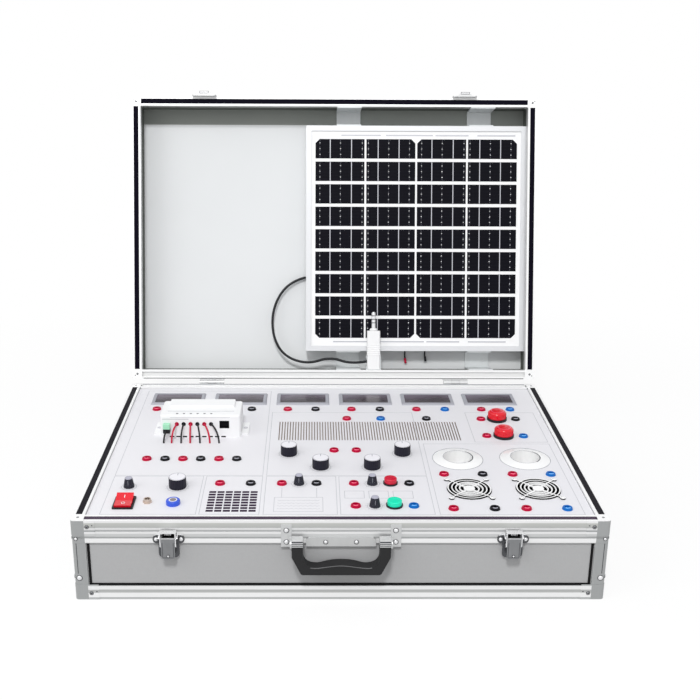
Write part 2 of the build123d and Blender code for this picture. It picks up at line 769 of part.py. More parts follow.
def rocker_housing():
    """The bezel on the panel and the open box below it, with the holes that the rocker's pins turn in."""
    bezel = extrude(RectangleRounded(BEZEL_W, BEZEL_L, 1.5), BEZEL_H)
    body = Box(BEZEL_W - 3, BEZEL_L - 2, ROCKER_BODY_H, align=HIGH)
    well = Pos(0, 0, -ROCKER_WELL) * Box(ROCKER_W, ROCKER_L + 3 * SLIP, ROCKER_WELL + BEZEL_H, align=LOW)
    reach = ROCKER_W / 2 + ROCKER_PIN_OUT
    pivot = ROCKER_PIVOT_Z - PANEL_TOP
    return bezel + body - well - rod(ROCKER_PIN_R + PIN_FIT, (-reach, 0, pivot), (reach, 0, pivot))


def push_switch(radius):
    """The switch body below a push button, with the bore that its stem slides in."""
    top = -PANEL_T - BUTTON_TRAVEL - SLIP
    body = Pos(0, 0, top) * Cylinder(radius + 1, SWITCH_H, align=HIGH)
    skirt = Pos(0, 0, top) * (Cylinder(radius + 1, -PANEL_T - top, align=LOW) - Cylinder(radius + FIT, 9, align=LOW))
    return body + skirt - Pos(0, 0, top) * Cylinder(STEM_R + SHAFT_FIT, SWITCH_H - SWITCH_FLOOR, align=HIGH)


def push_cap(radius, height):
    """A domed push button from its flange under the panel to its top, with its stem."""
    cap = Pos(0, 0, -PANEL_T) * Cylinder(radius, height + PANEL_T, align=LOW)
    cap = fillet(cap.faces().sort_by(Axis.Z)[-1].edges(), BUTTON_ROUND)
    stem = Pos(0, 0, -PANEL_T) * Cylinder(STEM_R, BUTTON_TRAVEL + STEM_L, align=HIGH)
    return cap + stem


def make_switches():
    """The power rocker, the push buttons, their bodies with those of the pilot lamps, and the power jack."""
    at_rocker = Pos(*spot(ROCKER_AT), 0)
    write("power_rocker", at_rocker * Pos(0, 0, ROCKER_PIVOT_Z) * rocker_cap())
    bodies = [at_rocker * Pos(0, 0, PANEL_TOP) * rocker_housing()]
    collars = []
    for name, (x, y, radius, height) in BUTTONS.items():
        at = Pos(*spot((x, y)), PANEL_TOP)
        write(name, at * push_cap(radius, height))
        bodies.append(at * push_switch(radius))
        ring = Cylinder(radius + FIT + COLLAR_W, COLLAR_H, align=LOW) - Cylinder(radius + FIT, COLLAR_H, align=LOW)
        collars.append(at * ring)
    at = Pos(*spot(RING_AT), PANEL_TOP)
    collar = fillet(Cylinder(RING_R, RING_H, align=LOW).faces().sort_by(Axis.Z)[-1].edges(), RING_ROUND)
    collar += Cylinder(RING_BORE_R + COLLAR_W, PANEL_T, align=HIGH)
    collar -= Pos(0, 0, -PANEL_T - 1) * Cylinder(RING_BORE_R, RING_H + PANEL_T + 2, align=LOW)
    collars.append(at * collar)
    plunger_low = -PANEL_T - RING_TRAVEL - SLIP
    plunger = Pos(0, 0, -PANEL_T) * Cylinder(RING_BORE_R - FIT, PANEL_T + RING_H, align=LOW)
    stem = Pos(0, 0, -PANEL_T) * Cylinder(STEM_R, STEM_L, align=HIGH)
    write("ring_button", at * (plunger + stem))
    body = Pos(0, 0, plunger_low) * Cylinder(RING_R - 1, SWITCH_H, align=HIGH)
    skirt = Pos(0, 0, plunger_low) * (
        Cylinder(RING_R - 1, RING_TRAVEL + SLIP, align=LOW) - Cylinder(RING_BORE_R, 9, align=LOW)
    )
    bore = Pos(0, 0, plunger_low) * Cylinder(STEM_R + SHAFT_FIT, SWITCH_H - SWITCH_FLOOR, align=HIGH)
    bodies.append(at * (body + skirt - bore))
    for x, y in spread(PILOT_LAMPS):
        base = Cylinder(PILOT_R, PILOT_BASE_H, align=LOW) + Cylinder(PILOT_R / 2, PANEL_T + PILOT_BODY_H, align=HIGH)
        bodies.append(Pos(x, y, PANEL_TOP) * base)
    write("switch_and_lamp_bodies", *bodies)
    jack = extrude(RegularPolygon(JACK_R, 6), JACK_H * 0.45) + Cylinder(JACK_R - COLLAR_W, JACK_H, align=LOW)
    jack += Cylinder(JACK_R - COLLAR_W, PANEL_T + JACK_BODY_H, align=HIGH)
    jack -= Pos(0, 0, JACK_H) * Cylinder(JACK_BORE_R, JACK_H + JACK_BORE_L, align=HIGH)
    pin = Pos(0, 0, JACK_H - JACK_PIN_R) * Cylinder(JACK_PIN_R, JACK_H + JACK_BORE_L, align=HIGH)
    write("button_collars_and_jack", *collars, Pos(*spot(JACK_AT), PANEL_TOP) * (jack + pin))


# Lamps


def make_lamps():
    """The red lenses of two pilot lamps and two white sunken lampholders."""
    lenses, holders = [], []
    for x, y in spread(PILOT_LAMPS):
        at = Pos(x, y, PANEL_TOP)
        lens_h = PILOT_H - PILOT_BASE_H
        with BuildSketch(Plane.XZ) as section:
            with BuildLine():
                Polyline((0, lens_h), (0, 0), (PILOT_R - 0.8, 0), (PILOT_R - 1.2, lens_h - 3))
                ThreePointArc((PILOT_R - 1.2, lens_h - 3), (PILOT_R - 3.2, lens_h - 0.8), (PILOT_R - 6, lens_h))
                Line((PILOT_R - 6, lens_h), (0, lens_h))
            make_face()
        lenses.append(at * Pos(0, 0, PILOT_BASE_H) * revolve(section.sketch, Axis.Z))
    outer_r = HOLDER_BORE_R + HOLDER_WALL
    for x, y in spread(LAMPHOLDERS):
        at = Pos(x, y, PANEL_TOP)
        flange = Cone(HOLDER_R, HOLDER_RIM_R + 1, HOLDER_H, align=LOW)
        cup = Pos(0, 0, -HOLDER_DEPTH) * Cylinder(outer_r, HOLDER_DEPTH + HOLDER_H, align=LOW)
        bore = Pos(0, 0, -HOLDER_DEPTH + HOLDER_WALL) * Cylinder(HOLDER_BORE_R, HOLDER_DEPTH + HOLDER_H, align=LOW)
        holders.append(at * (flange + cup - bore))
        seat = -HOLDER_DEPTH + HOLDER_WALL
        contact = Pos(0, 0, seat) * (Cylinder(9, 3.5, align=LOW) - Pos(0, 0, 1.5) * Cylinder(6.5, 3, align=LOW))
        contact += Pos(0, 0, seat) * Cylinder(2.5, 5, align=LOW)
        contact += Pos(12, 0, seat) * Box(3, 6, 9, align=LOW)
        holders.append(at * contact)
    write("pilot_lamp_lenses", *lenses)
    write("lampholders", *holders)


# Fans


def blade_section(radius, chord, pitch):
    """A flat blade section across the radial direction at one radius."""
    plane = Plane(origin=(radius, 0, 0), x_dir=(0, 1, 0), z_dir=(1, 0, 0))
    return plane * Rot(0, 0, pitch) * Rectangle(chord, BLADE_T)


def fan_rotor():
    """A seven-bladed rotor about Z with its axle below, centred on z = 0."""
    hub = Cylinder(FAN_HUB_R, FAN_HUB_H)
    hub = fillet(hub.faces().sort_by(Axis.Z)[-1].edges(), 1.5)
    middle_r = (FAN_HUB_R + FAN_TIP_R) / 2
    sections = [
        blade_section(FAN_HUB_R - 1.5, BLADE_CHORD_ROOT, BLADE_PITCH_ROOT),
        blade_section(middle_r, (BLADE_CHORD_ROOT + BLADE_CHORD_TIP) / 2, (BLADE_PITCH_ROOT + BLADE_PITCH_TIP) / 2),
        blade_section(FAN_TIP_R, BLADE_CHORD_TIP, BLADE_PITCH_TIP),
    ]
    blade = loft(sections, ruled=True)
    rotor = fused([hub] + [Rot(0, 0, 360 / FAN_BLADES * index) * blade for index in range(FAN_BLADES)])
    return rotor + Pos(0, 0, -FAN_HUB_H / 2) * Cylinder(AXLE_R, 2.0, align=HIGH)


def fan_frame():
    """The square frame under the panel, with struts that carry the bearing plate."""
    frame = extrude(RectangleRounded(FAN_SIZE, FAN_SIZE, 4) - Circle(FAN_BORE_R), FAN_T)
    frame -= [Pos(x, y) * Cylinder(FAN_HOLE_R, 2 * FAN_T) for x, y in fan_holes(0, 0)]
    plate = Cylinder(FAN_HUB_R, 2.4, align=LOW)
    for index in range(STRUTS):
        strut = Box(FAN_BORE_R + 0.5, STRUT_W, 2.4, align=(Align.MIN, Align.CENTER, Align.MIN))
        plate += Rot(0, 0, 45 + 360 / STRUTS * index) * strut
    frame += plate
    return frame - Cylinder(AXLE_R + SHAFT_FIT, 10)


def fan_guard():
    """The finger guard on the panel: rings on crossed ribs, with a lug at each screw."""
    outline = Circle(GUARD_HUB_R)
    for radius in GUARD_RADII:
        outline += Circle(radius) - Circle(radius - GUARD_WIRE)
    guard = extrude(outline, GUARD_WIRE)
    lug_at = FAN_HOLE_PITCH / 2
    for index in range(4):
        turn = Rot(0, 0, 45 + 90 * index)
        reach = lug_at * math.sqrt(2)
        arm = Box(reach, GUARD_WIRE, GUARD_WIRE, align=(Align.MIN, Align.CENTER, Align.MIN))
        lug = Pos(reach, 0, 0) * Cylinder(GUARD_LUG_R, GUARD_WIRE, align=LOW)
        guard += turn * (arm + lug)
    return guard


def make_fans():
    """Two small fans under the panel, with their guards above it."""
    frame, guard, rotor = fan_frame(), fan_guard(), fan_rotor()
    floor = PANEL_UNDER - FAN_T
    hub_z = floor + 2.4 + SLIP + FAN_HUB_H / 2
    spots = spread(FANS.values())
    write("fan_frames", *[Pos(x, y, floor) * frame for x, y in spots])
    write("fan_guards", *[Pos(x, y, PANEL_TOP) * guard for x, y in spots])
    for name, (x, y) in zip(FANS, spots):
        write(f"{name}_rotor", Pos(x, y, hub_z) * rotor)


# Charge controller and its leads


def controller_case(holes):
    """The controller's case on z = 0, with its foot, its ridge and the recesses in its front."""
    front = -CTRL_L / 2
    case = Box(CTRL_W, CTRL_FLANGE_L, CTRL_FLANGE_T, align=LOW)
    case -= [Pos(sx * (CTRL_W / 2 - CTRL_HOLE_IN), 0, 0) * Cylinder(CTRL_HOLE_R, 9) for sx in (-1, 1)]
    body = extrude(RectangleRounded(CTRL_BODY_W, CTRL_L, CTRL_CORNER), CTRL_BODY_H)
    case += fillet(body.faces().sort_by(Axis.Z)[-1].edges(), CTRL_ROUND)
    ridge = extrude(RectangleRounded(CTRL_RIDGE_W, CTRL_RIDGE_L, CTRL_CORNER - 1), CTRL_RIDGE_H, taper=12)
    case += Pos(0, CTRL_L / 2 - CTRL_RIDGE_L / 2 - CTRL_ROUND, CTRL_BODY_H) * ridge
    for x, z in holes:
        case -= rod(TERMINAL_R, (x, front - 1, z), (x, front + TERMINAL_DEEP, z))
    case -= Pos(USB_X, front, USB_Z) * Box(USB_W, 2 * USB_DEEP, USB_H)
    slot_w, slot_h, slot_in = FOOT_SLOT
    for x, _ in grid_points((FOOT_SLOTS_X, 0), FOOT_SLOTS, 1, FOOT_SLOT_PITCH, 0):
        case -= Pos(x, front, FOOT_SLOT_Z) * Box(slot_w, 2 * slot_in, slot_h)
    return case - Pos(GREEN_X, front, GREEN_Z) * Box(GREEN_W + 2 * FIT, 2 * USB_DEEP, GREEN_H + 2 * FIT)


def controller_leads(holes):
    """Leads from the front of the controller down through the panel."""
    front = -CTRL_L / 2
    lead_y = front - LEAD_OUT
    leads = []
    for (x, z), end in zip(holes, LEAD_ENDS):
        turn_at = (end, lead_y + LEAD_BEND_BACK, z - LEAD_BEND_DROP)
        leads.append(tube(LEAD_R, [(x, front, z), turn_at, (end, lead_y, -PANEL_T)], "controller lead"))
    low = GREEN_Z - GREEN_H / 4
    start = (GREEN_X, front - GREEN_OUT, low)
    turn_at = (GREEN_LEAD_X, lead_y + GREEN_LEAD_BACK, low - GREEN_LEAD_DROP)
    leads.append(tube(LEAD_R, [start, turn_at, (GREEN_LEAD_X, lead_y, -PANEL_T)], "supply lead"))
    return leads


def make_controller():
    """The charge controller, its terminals and its leads into the panel."""
    at = Pos(*spot(CTRL_AT), PANEL_TOP)
    front = -CTRL_L / 2
    holes = [(TERMINAL_X + index * TERMINAL_PITCH, TERMINAL_Z) for index in range(TERMINALS)]
    leads = controller_leads(holes)
    rings = [rod(TERMINAL_R - FIT, (x, front + FIT, z), (x, front + TERMINAL_DEEP - FIT, z)) for x, z in holes]
    usb = Pos(USB_X, front + USB_DEEP - 1.0, USB_Z) * Box(USB_W - 2, 1.6, USB_H / 2)
    usb_frame = Box(USB_W - 2 * FIT, USB_DEEP - FIT, USB_H - 2 * FIT) - Box(USB_W - 2, 9, USB_H - 2)
    usb += Pos(USB_X, front + USB_DEEP / 2, USB_Z) * usb_frame
    plug = Pos(GREEN_X, front + USB_DEEP - FIT, GREEN_Z)
    plug *= Box(GREEN_W, GREEN_OUT + USB_DEEP, GREEN_H, align=(Align.CENTER, Align.MAX, Align.CENTER))
    terminals = [ring - lead for ring, lead in zip(rings, leads)]
    write("controller_case", at * controller_case(holes))
    write("controller_leads", *[at * lead for lead in leads])
    write("controller_terminals", *[at * piece for piece in (*terminals, usb, plug - leads[-1])])


def tube(radius, points, label):
    """A cord along straight runs and tangent arcs, each arc as large as its two runs allow."""
    points = [Vector(*point) for point in points]
    radii = []
    for before, here, after in zip(points, points[1:], points[2:]):
        turn = math.radians((here - before).get_angle(after - here))
        shorter = min((here - before).length, (after - here).length)
        radii.append(0.45 * shorter / math.tan(turn / 2))
    path = FilletPolyline(*points, radius=radii)
    print(f"{label}: radii", [round(value, 1) for value in radii], "length", round(path.length, 1))
    section = Plane(origin=path @ 0, z_dir=path % 0) * Circle(radius)
    return sweep(section, path=path)


# Pieces under the panel


def make_inner_pieces():
    """The battery, the inverter with its fins, and the buzzer."""
    length, width, height = BATTERY
    battery = Box(length, width, height, align=LOW)
    battery = fillet(battery.edges().filter_by(Axis.Z), 3)
    tab_w, tab_l, tab_t = TERMINAL_TAB
    for sy in (-1, 1):
        battery += Pos(length / 2 - 6, sy * (width / 2 - 12), height) * Box(tab_w, tab_t, tab_l, align=LOW)
    x, y = spot(BATTERY_AT)
    write("battery", Pos(x, y, FLOOR_T) * battery)
    length, width, height = INVERTER
    fin_w, fin_h = INVERTER_FIN
    inverter = Box(length, width, height, align=LOW)
    for px, _ in grid_points((0, 0), int(length / INVERTER_FIN_PITCH), 1, INVERTER_FIN_PITCH, 0):
        inverter += Pos(px, 0, height) * Box(fin_w, width, fin_h, align=LOW)
    x, y = spot(INVERTER_AT)
    write("inverter", Pos(x, y, FLOOR_T) * inverter)
    buzzer = Cylinder(BUZZER_R, BUZZER_H, align=HIGH) - Cylinder(BUZZER_R - 3, 2.5, align=HIGH)
    write("buzzer", Pos(*spot(GRILLE_AT), PANEL_UNDER) * buzzer)


# Solar panel in the lid


def pv_at(depth):
    """The centre of the solar panel in the lid's frame, at a depth behind the rim face."""
    return Pos(PV_X, PV_LOW + PV_L / 2 - CASE_D / 2, -depth)


def cell(column, row):
    """A solar cell with its outer corners cut, as halves of a square wafer have."""
    outline = Rectangle(CELL_W, CELL_H)
    side = -1 if column % 2 == 0 else 1
    end = 1 if row == CELL_ROWS - 1 else -1
    if row in (0, CELL_ROWS - 1):
        corner = [v for v in outline.vertices() if v.X * side > 0 and v.Y * end > 0]
        outline = chamfer(corner, CELL_CORNER)
    return extrude(outline, CELL_T)


def make_solar_panel():
    """The solar panel: frame, laminate, cells and junction box."""
    frame = hoop(PV_W, PV_L, 1.0, PV_WALL, -PV_T, 0)
    frame += hoop(PV_W, PV_L, 1.0, PV_LIP_W, -PV_LIP_T, 0)
    frame += hoop(PV_W, PV_L, 1.0, PV_BACK_W, -PV_T, -PV_T + PV_LIP_T)
    write_lid("solar_frame", pv_at(PV_DEPTH) * frame)
    inset = 2 * (PV_WALL + SLIP)
    front = PV_DEPTH + PV_LIP_T + CELL_T + FIT
    laminate = Box(PV_W - inset, PV_L - inset, LAMINATE_T, align=HIGH)
    write_lid("solar_laminate", pv_at(front) * laminate)
    pitch_x, pitch_y = CELL_W + CELL_GAP_X, CELL_H + CELL_GAP_Y
    cells = []
    for column in range(CELL_COLUMNS):
        for row in range(CELL_ROWS):
            x = (column - (CELL_COLUMNS - 1) / 2) * pitch_x
            y = (row - (CELL_ROWS - 1) / 2) * pitch_y
            cells.append(pv_at(front) * Pos(x, y, 0) * cell(column, row))
    write_lid("solar_cells", *cells)
    box = Pos(BOX_X, BOX_Y - CASE_D / 2, -front - LAMINATE_T) * Box(BOX_W, BOX_L, BOX_T, align=HIGH)
    write_lid("junction_box", box)


def bracket(end):
    """A strap from the lid wall, down the lining and out along the edge of the solar panel. End is -1 low, 1 high."""
    wall = CASE_D / 2 - RIM_W - FIT
    edge = abs(PV_LOW + (PV_L if end > 0 else 0) - CASE_D / 2) + FIT
    back = LID_BACK + FIT
    with BuildSketch(Plane.YZ) as section:
        with BuildLine():
            Polyline(
                (wall, -PANEL_GAP), (wall, back), (edge, back), (edge, -PV_DEPTH - PV_LIP_T),
                (edge + BRACKET_T, -PV_DEPTH - PV_LIP_T), (edge + BRACKET_T, back + BRACKET_T),
                (wall - BRACKET_T, back + BRACKET_T), (wall - BRACKET_T, -PANEL_GAP), close=True,
            )
        make_face()
    strap = extrude(section.sketch, BRACKET_W / 2, both=True)
    return mirror(strap, Plane.XZ) if end < 0 else strap


def make_lid_fittings():
    """The solar panel's brackets, the stowed plug with its clip, and the cable between box and plug."""
    straps = []
    for sx in (-1, 1):
        at = Pos(PV_X + BRACKET_SHIFT + sx * BRACKET_X, 0, 0)
        straps += [at * bracket(end) for end in (-1, 1)]
    floor = -CASE_D / 2 + RIM_W + FIT
    foot_first = (Align.CENTER, Align.MIN, Align.MIN)
    clip = Box(PLUG_W + 2 * (CLIP_T + FIT), CLIP_H, PLUG_T + CLIP_T + FIT, align=foot_first)
    clip -= Pos(0, CLIP_T, CLIP_T) * Box(PLUG_W + 2 * FIT, CLIP_H, PLUG_T + CLIP_NOTCH, align=foot_first)
    clip_low = -PLUG_DEPTH - PLUG_T / 2 - CLIP_T - FIT
    notch = Box(CLIP_NOTCH, CLIP_H * 0.5, PLUG_T + CLIP_NOTCH)
    clip -= Pos(-PLUG_W / 2, CLIP_H * 0.55, PLUG_T / 2 + CLIP_T + FIT) * notch
    write_lid("lid_brackets", *straps, Pos(PLUG_X, floor, clip_low) * clip)
    foot = floor + CLIP_T + FIT
    body = Box(PLUG_W, PLUG_L, PLUG_T, align=(Align.CENTER, Align.MIN, Align.CENTER))
    body = fillet(body.edges().filter_by(Axis.Y), PLUG_CORNER)
    neck = PLUG_L + PLUG_PIN_L - PLUG_TIP_L
    pin = rod(PLUG_PIN_R, (0, PLUG_L, 0), (0, neck, 0))
    pin += rod(PLUG_PIN_R * 0.6, (0, neck - 1, 0), (0, neck + PLUG_TIP_L / 2, 0))
    pin += Pos(0, PLUG_L + PLUG_PIN_L - PLUG_PIN_R, 0) * Sphere(PLUG_PIN_R)
    at = Pos(PLUG_X, foot, -PLUG_DEPTH)
    route = [(BOX_X - BOX_W / 2, BOX_Y, CABLE_BOX_Z)]
    route += [(PV_X + x, y, z) for x, y, z in CABLE_ROUTE]
    route.append((PLUG_X - PLUG_W / 2, CABLE_PLUG_Y, -PLUG_DEPTH))
    cable = tube(CABLE_R, [(x, y - CASE_D / 2, z) for x, y, z in route], "solar cable")
    write_lid("solar_cable", cable)
    write_lid("cable_plug", at * body - cable, at * pin)


# Latches


def make_latches():
    """Two claw latches on the front rail and their strikes on the lid."""
    face = -CASE_D / 2
    cheek = LEVER_W / 2
    lug_in = cheek + 2 * (SLIP + FIT) + LATCH_SHEET
    lug_out = lug_in + LATCH_SHEET
    plates, pins = [], []
    for side, sx in (("left", -1), ("right", 1)):
        x = sx * share_x(LATCH_X)
        low = Pos(x, face - LATCH_PLATE_T / 2, LATCH_PLATE_LOW)
        plate = low * Box(LATCH_PLATE_W, LATCH_PLATE_T, LATCH_PLATE_HIGH - LATCH_PLATE_LOW, align=LOW)
        plate = fillet(plate.edges().filter_by(Axis.Y).group_by(Axis.Z)[0], 5)
        ears = Pos(x, face - LATCH_PLATE_T / 2, LATCH_EAR_LOW) * Box(LATCH_EAR_W, LATCH_PLATE_T, 11, align=LOW)
        plate += fillet(ears.edges().filter_by(Axis.Y), 5)
        at_pin = Pos(x, face - LATCH_PIN_OUT, LATCH_PIN_Z)
        for lx in (-1, 1):
            lug = Rot(0, 90, 0) * Cylinder(LUG_R, LATCH_SHEET)
            lug += Box(LATCH_SHEET, LATCH_PIN_OUT, 2 * LUG_R - 1, align=(Align.CENTER, Align.MIN, Align.CENTER))
            lug -= Rot(0, 90, 0) * Cylinder(LATCH_PIN_R + SHAFT_FIT, 2 * LATCH_SHEET)
            plate += at_pin * Pos(lx * (lug_in + lug_out) / 2, 0, 0) * lug
            pin_in = cheek - LATCH_SHEET - SLIP
            pin = Rot(0, 90, 0) * Cylinder(LATCH_PIN_R, lug_out - pin_in)
            pins.append(at_pin * Pos(lx * (lug_out + pin_in) / 2, 0, 0) * pin)
        plates.append(plate)
        write(f"latch_{side}_lever", Pos(x, face, 0) * lever())
        write(f"latch_{side}_claw", Pos(x, face, 0) * claw())
    write("latch_plates", *plates, *pins)
    strikes = []
    for sx in (-1, 1):
        at = Pos(sx * share_x(LATCH_X), CASE_D / 2, STRIKE_REACH)
        plate = at * Box(STRIKE_W, STRIKE_T, STRIKE_REACH + STRIKE_H, align=(Align.CENTER, Align.MIN, Align.MAX))
        plate = fillet(plate.edges().filter_by(Axis.Y), 3)
        reach = STRIKE_T + STRIKE_LIP
        lip = at * Box(LEVER_W + 4, reach, STRIKE_T, align=(Align.CENTER, Align.MIN, Align.MAX))
        strikes.append(plate + lip)
    write_lid("lid_strikes", *strikes)


def lever():
    """The drop lever of a latch against y = 0: a channel on the latch pins that carries the claw's pin."""
    channel = Pos(0, -LEVER_STAND, LEVER_LOW) * Box(
        LEVER_W, LATCH_SHEET, LEVER_TOP - LEVER_LOW, align=(Align.CENTER, Align.MIN, Align.MIN)
    )
    channel = fillet(channel.edges().filter_by(Axis.Y).group_by(Axis.Z)[0], 4)
    deep = LEVER_STAND - LATCH_PLATE_T - 1.4
    for lx in (-1, 1):
        cheek = Box(LATCH_SHEET, deep, LEVER_TOP - LEVER_LOW - 5, align=(Align.CENTER, Align.MIN, Align.MIN))
        cheek = chamfer(cheek.edges().filter_by(Axis.X).group_by(Axis.Y)[-1], 2)
        channel += Pos(lx * (LEVER_W - LATCH_SHEET) / 2, -LEVER_STAND, LEVER_LOW + 5) * cheek
    bore = cross_rod(LATCH_PIN_R + SHAFT_FIT, LEVER_W, LATCH_PIN_Z)
    return channel - bore + cross_rod(LATCH_PIN_R, LEVER_W / 2 + SLIP + LATCH_SHEET, LATCH_PIN_Z - CLAW_PIN_DROP)


def cross_rod(radius, reach, height):
    """A bar along X through a latch at its pins' distance from the face."""
    return rod(radius, (-reach, -LATCH_PIN_OUT, height), (reach, -LATCH_PIN_OUT, height))


def claw():
    """The claw of a latch against y = 0: two arms outside the lever, in front of the latch pins, and a hook plate."""
    pin_z = LATCH_PIN_Z - CLAW_PIN_DROP
    under = CLAW_TOP - LATCH_SHEET
    inner = CLAW_FRONT - CLAW_ARM_W
    with BuildSketch(Plane.YZ) as section:
        with BuildLine():
            Polyline(
                (-LATCH_PIN_OUT, pin_z - 2.2), (-CLAW_FRONT, pin_z + 0.6), (-CLAW_FRONT, CLAW_TOP),
                (-CLAW_BACK, CLAW_TOP), (-CLAW_BACK, under), (-inner, under), (-inner, pin_z + 4.5),
                (-LATCH_PIN_OUT + 2, pin_z + 1.8), (-LATCH_PIN_OUT + 2, pin_z - 1.0), close=True,
            )
        make_face()
    first = LEVER_W / 2 + SLIP
    arm = extrude(section.sketch, LATCH_SHEET / 2, both=True)
    arms = [Pos(lx * (first + LATCH_SHEET / 2), 0, 0) * arm for lx in (-1, 1)]
    plate = Pos(0, -CLAW_BACK, CLAW_TOP) * Box(
        2 * first + LATCH_SHEET, CLAW_FRONT - CLAW_BACK, LATCH_SHEET, align=(Align.CENTER, Align.MAX, Align.MAX)
    )
    return fused([plate, *arms]) - cross_rod(LATCH_PIN_R + SHAFT_FIT, LEVER_W, pin_z)


# Carry handle


def grip_outline():
    """Half of the handle seen from the front, from the centre line outwards."""
    inner = HANDLE_HALF_W - HANDLE_LEG
    with BuildSketch() as half:
        with BuildLine():
            Polyline(
                (0, HANDLE_LOW_Z), (HANDLE_HEEL_X, HANDLE_LOW_Z), (HANDLE_HALF_W, HANDLE_KINK_Z),
                (HANDLE_HALF_W, HANDLE_TOP), (inner, HANDLE_TOP), (inner, HANDLE_KINK_Z),
            )
            Spline(
                (inner, HANDLE_KINK_Z), (GRIP_SIDE_X, GRIP_SIDE_Z), (0, GRIP_CENTRE_Z),
                tangents=[(0, -1), (-1, 0)],
            )
            Line((0, GRIP_CENTRE_Z), (0, HANDLE_LOW_Z))
        make_face()
    return half.sketch


def make_handle():
    """The carry handle with its ears, pins and the plate between them."""
    face = -CASE_D / 2
    pivot_y = face - HANDLE_PIVOT_OUT
    half = grip_outline()
    outline = half + mirror(half, Plane.YZ)
    grip = extrude(Plane.XZ * outline, HANDLE_T / 2, both=True)
    heels = [e for e in grip.edges().filter_by(Axis.Y) if e.center().Z < HANDLE_KINK_Z + 1]
    grip = fillet(heels, 4)
    grip = Pos(0, pivot_y, 0) * grip
    inner = HANDLE_HALF_W - HANDLE_LEG
    reach = HANDLE_HALF_W + 1
    bore = rod(HANDLE_PIN_R + SHAFT_FIT, (-reach, pivot_y, HANDLE_PIVOT_Z), (reach, pivot_y, HANDLE_PIVOT_Z))
    write("carry_handle", grip - bore)
    mounts = []
    for sx in (-1, 1):
        outer = sx * (HANDLE_HALF_W + SLIP)
        plate = Pos(outer + sx * EAR_W / 2, face - EAR_T / 2, EAR_LOW)
        plate *= Box(EAR_W, EAR_T, EAR_HIGH - EAR_LOW, align=LOW)
        lug = Pos(outer + sx * EAR_T / 2, face, HANDLE_PIVOT_Z)
        lug *= Box(EAR_T, HANDLE_PIVOT_OUT + 5, 10, align=(Align.CENTER, Align.MAX, Align.CENTER))
        lug = fillet(lug.edges().filter_by(Axis.X).group_by(Axis.Y)[0], 4)
        pin_ends = (sx * (inner + 0.5), outer + sx * EAR_T)
        pin = rod(HANDLE_PIN_R, *[(x, pivot_y, HANDLE_PIVOT_Z) for x in pin_ends])
        mounts.append(plate + lug + pin)
    tall = BRIDGE_HIGH - BRIDGE_LOW
    bridge = Pos(0, face - EAR_T / 2, BRIDGE_LOW) * Box(2 * BRIDGE_HALF_W, EAR_T, tall, align=LOW)
    mounts.append(chamfer(bridge.edges().filter_by(Axis.Y).group_by(Axis.Z)[-1], 3))
    write("handle_mounts", *mounts)


def main():
    """Build every node."""
    os.makedirs("parts", exist_ok=True)
    make_base_case()
    make_lid_case()
    make_hinges()
    make_instrument_panel()
    make_meters()
    make_sockets()
    make_knobs()
    make_switches()
    make_lamps()
    make_fans()
    make_controller()
    make_inner_pieces()
    make_solar_panel()
    make_lid_fittings()
    make_latches()
    make_handle()


main()
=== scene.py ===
"""Solar energy trainer: an aluminium teaching case, its instrument panel and the solar panel in its lid.

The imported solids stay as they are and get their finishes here. The small parts, the printed lines, the wires
and the springs are modelled here in millimetres, and placed in metres on the body that carries them.
"""

import logging
import math
from dataclasses import dataclass
from enum import Enum
from typing import Callable, Optional, Sequence, Union

import bmesh
import bpy
from mathutils import Matrix, Vector


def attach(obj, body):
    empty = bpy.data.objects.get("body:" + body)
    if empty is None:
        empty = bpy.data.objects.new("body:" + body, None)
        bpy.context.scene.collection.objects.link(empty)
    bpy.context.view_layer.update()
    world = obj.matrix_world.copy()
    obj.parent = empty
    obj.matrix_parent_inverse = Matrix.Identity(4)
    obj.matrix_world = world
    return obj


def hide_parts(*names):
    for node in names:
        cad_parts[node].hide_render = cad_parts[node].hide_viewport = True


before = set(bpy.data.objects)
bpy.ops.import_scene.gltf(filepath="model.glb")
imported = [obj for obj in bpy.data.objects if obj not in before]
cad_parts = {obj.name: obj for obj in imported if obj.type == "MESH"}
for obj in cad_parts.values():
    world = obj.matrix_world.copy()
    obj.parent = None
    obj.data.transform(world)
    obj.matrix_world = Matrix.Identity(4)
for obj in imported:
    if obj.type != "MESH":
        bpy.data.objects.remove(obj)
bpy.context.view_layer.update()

LOG = logging.getLogger("solar_trainer")
MM = 0.001
Colour = tuple[float, float, float]
Point = tuple[float, float, float]
Sockets = dict[Union[int, str], object]
Choice = Callable[[Vector, Vector], int]
Number = Union[int, float]

CASE_W = 630.0
CASE_D = 438.0
BASE_H = 105.0
PANEL_TOP = 102.0
LID_OPEN = 106.0
PIN_OUT = 5.5
RIM_GAP = 1.4


def srgb(code: str) -> Colour:
    """Turn a colour as it is seen into a linear one.

    Args:
        code: Six hexadecimal digits, red, green and blue.

    Returns:
        The three linear values.
    """
    parts = [int(code[start:start + 2], 16) / 255 for start in (0, 2, 4)]
    linear = [part / 12.92 if part <= 0.04045 else ((part + 0.055) / 1.055) ** 2.4 for part in parts]
    return (linear[0], linear[1], linear[2])


def lid_place() -> Matrix:
    """Place of the lid's own frame: its rim face is the XY plane, Y runs up the lid, Z out of its open side.

    Returns:
        The matrix from lid millimetres to world metres.
    """
    lean = math.radians(LID_OPEN - 90.0)
    up = Vector((0, math.sin(lean), math.cos(lean)))
    out = Vector((0, -math.cos(lean), math.sin(lean)))
    pin = Vector((0, CASE_D / 2 + PIN_OUT, BASE_H + RIM_GAP / 2))
    origin = pin + up * (CASE_D / 2 + PIN_OUT) - out * (RIM_GAP / 2)
    turn = Matrix((Vector((1, 0, 0)), up, out)).transposed().to_4x4()
    return Matrix.Scale(MM, 4) @ Matrix.Translation(origin) @ turn


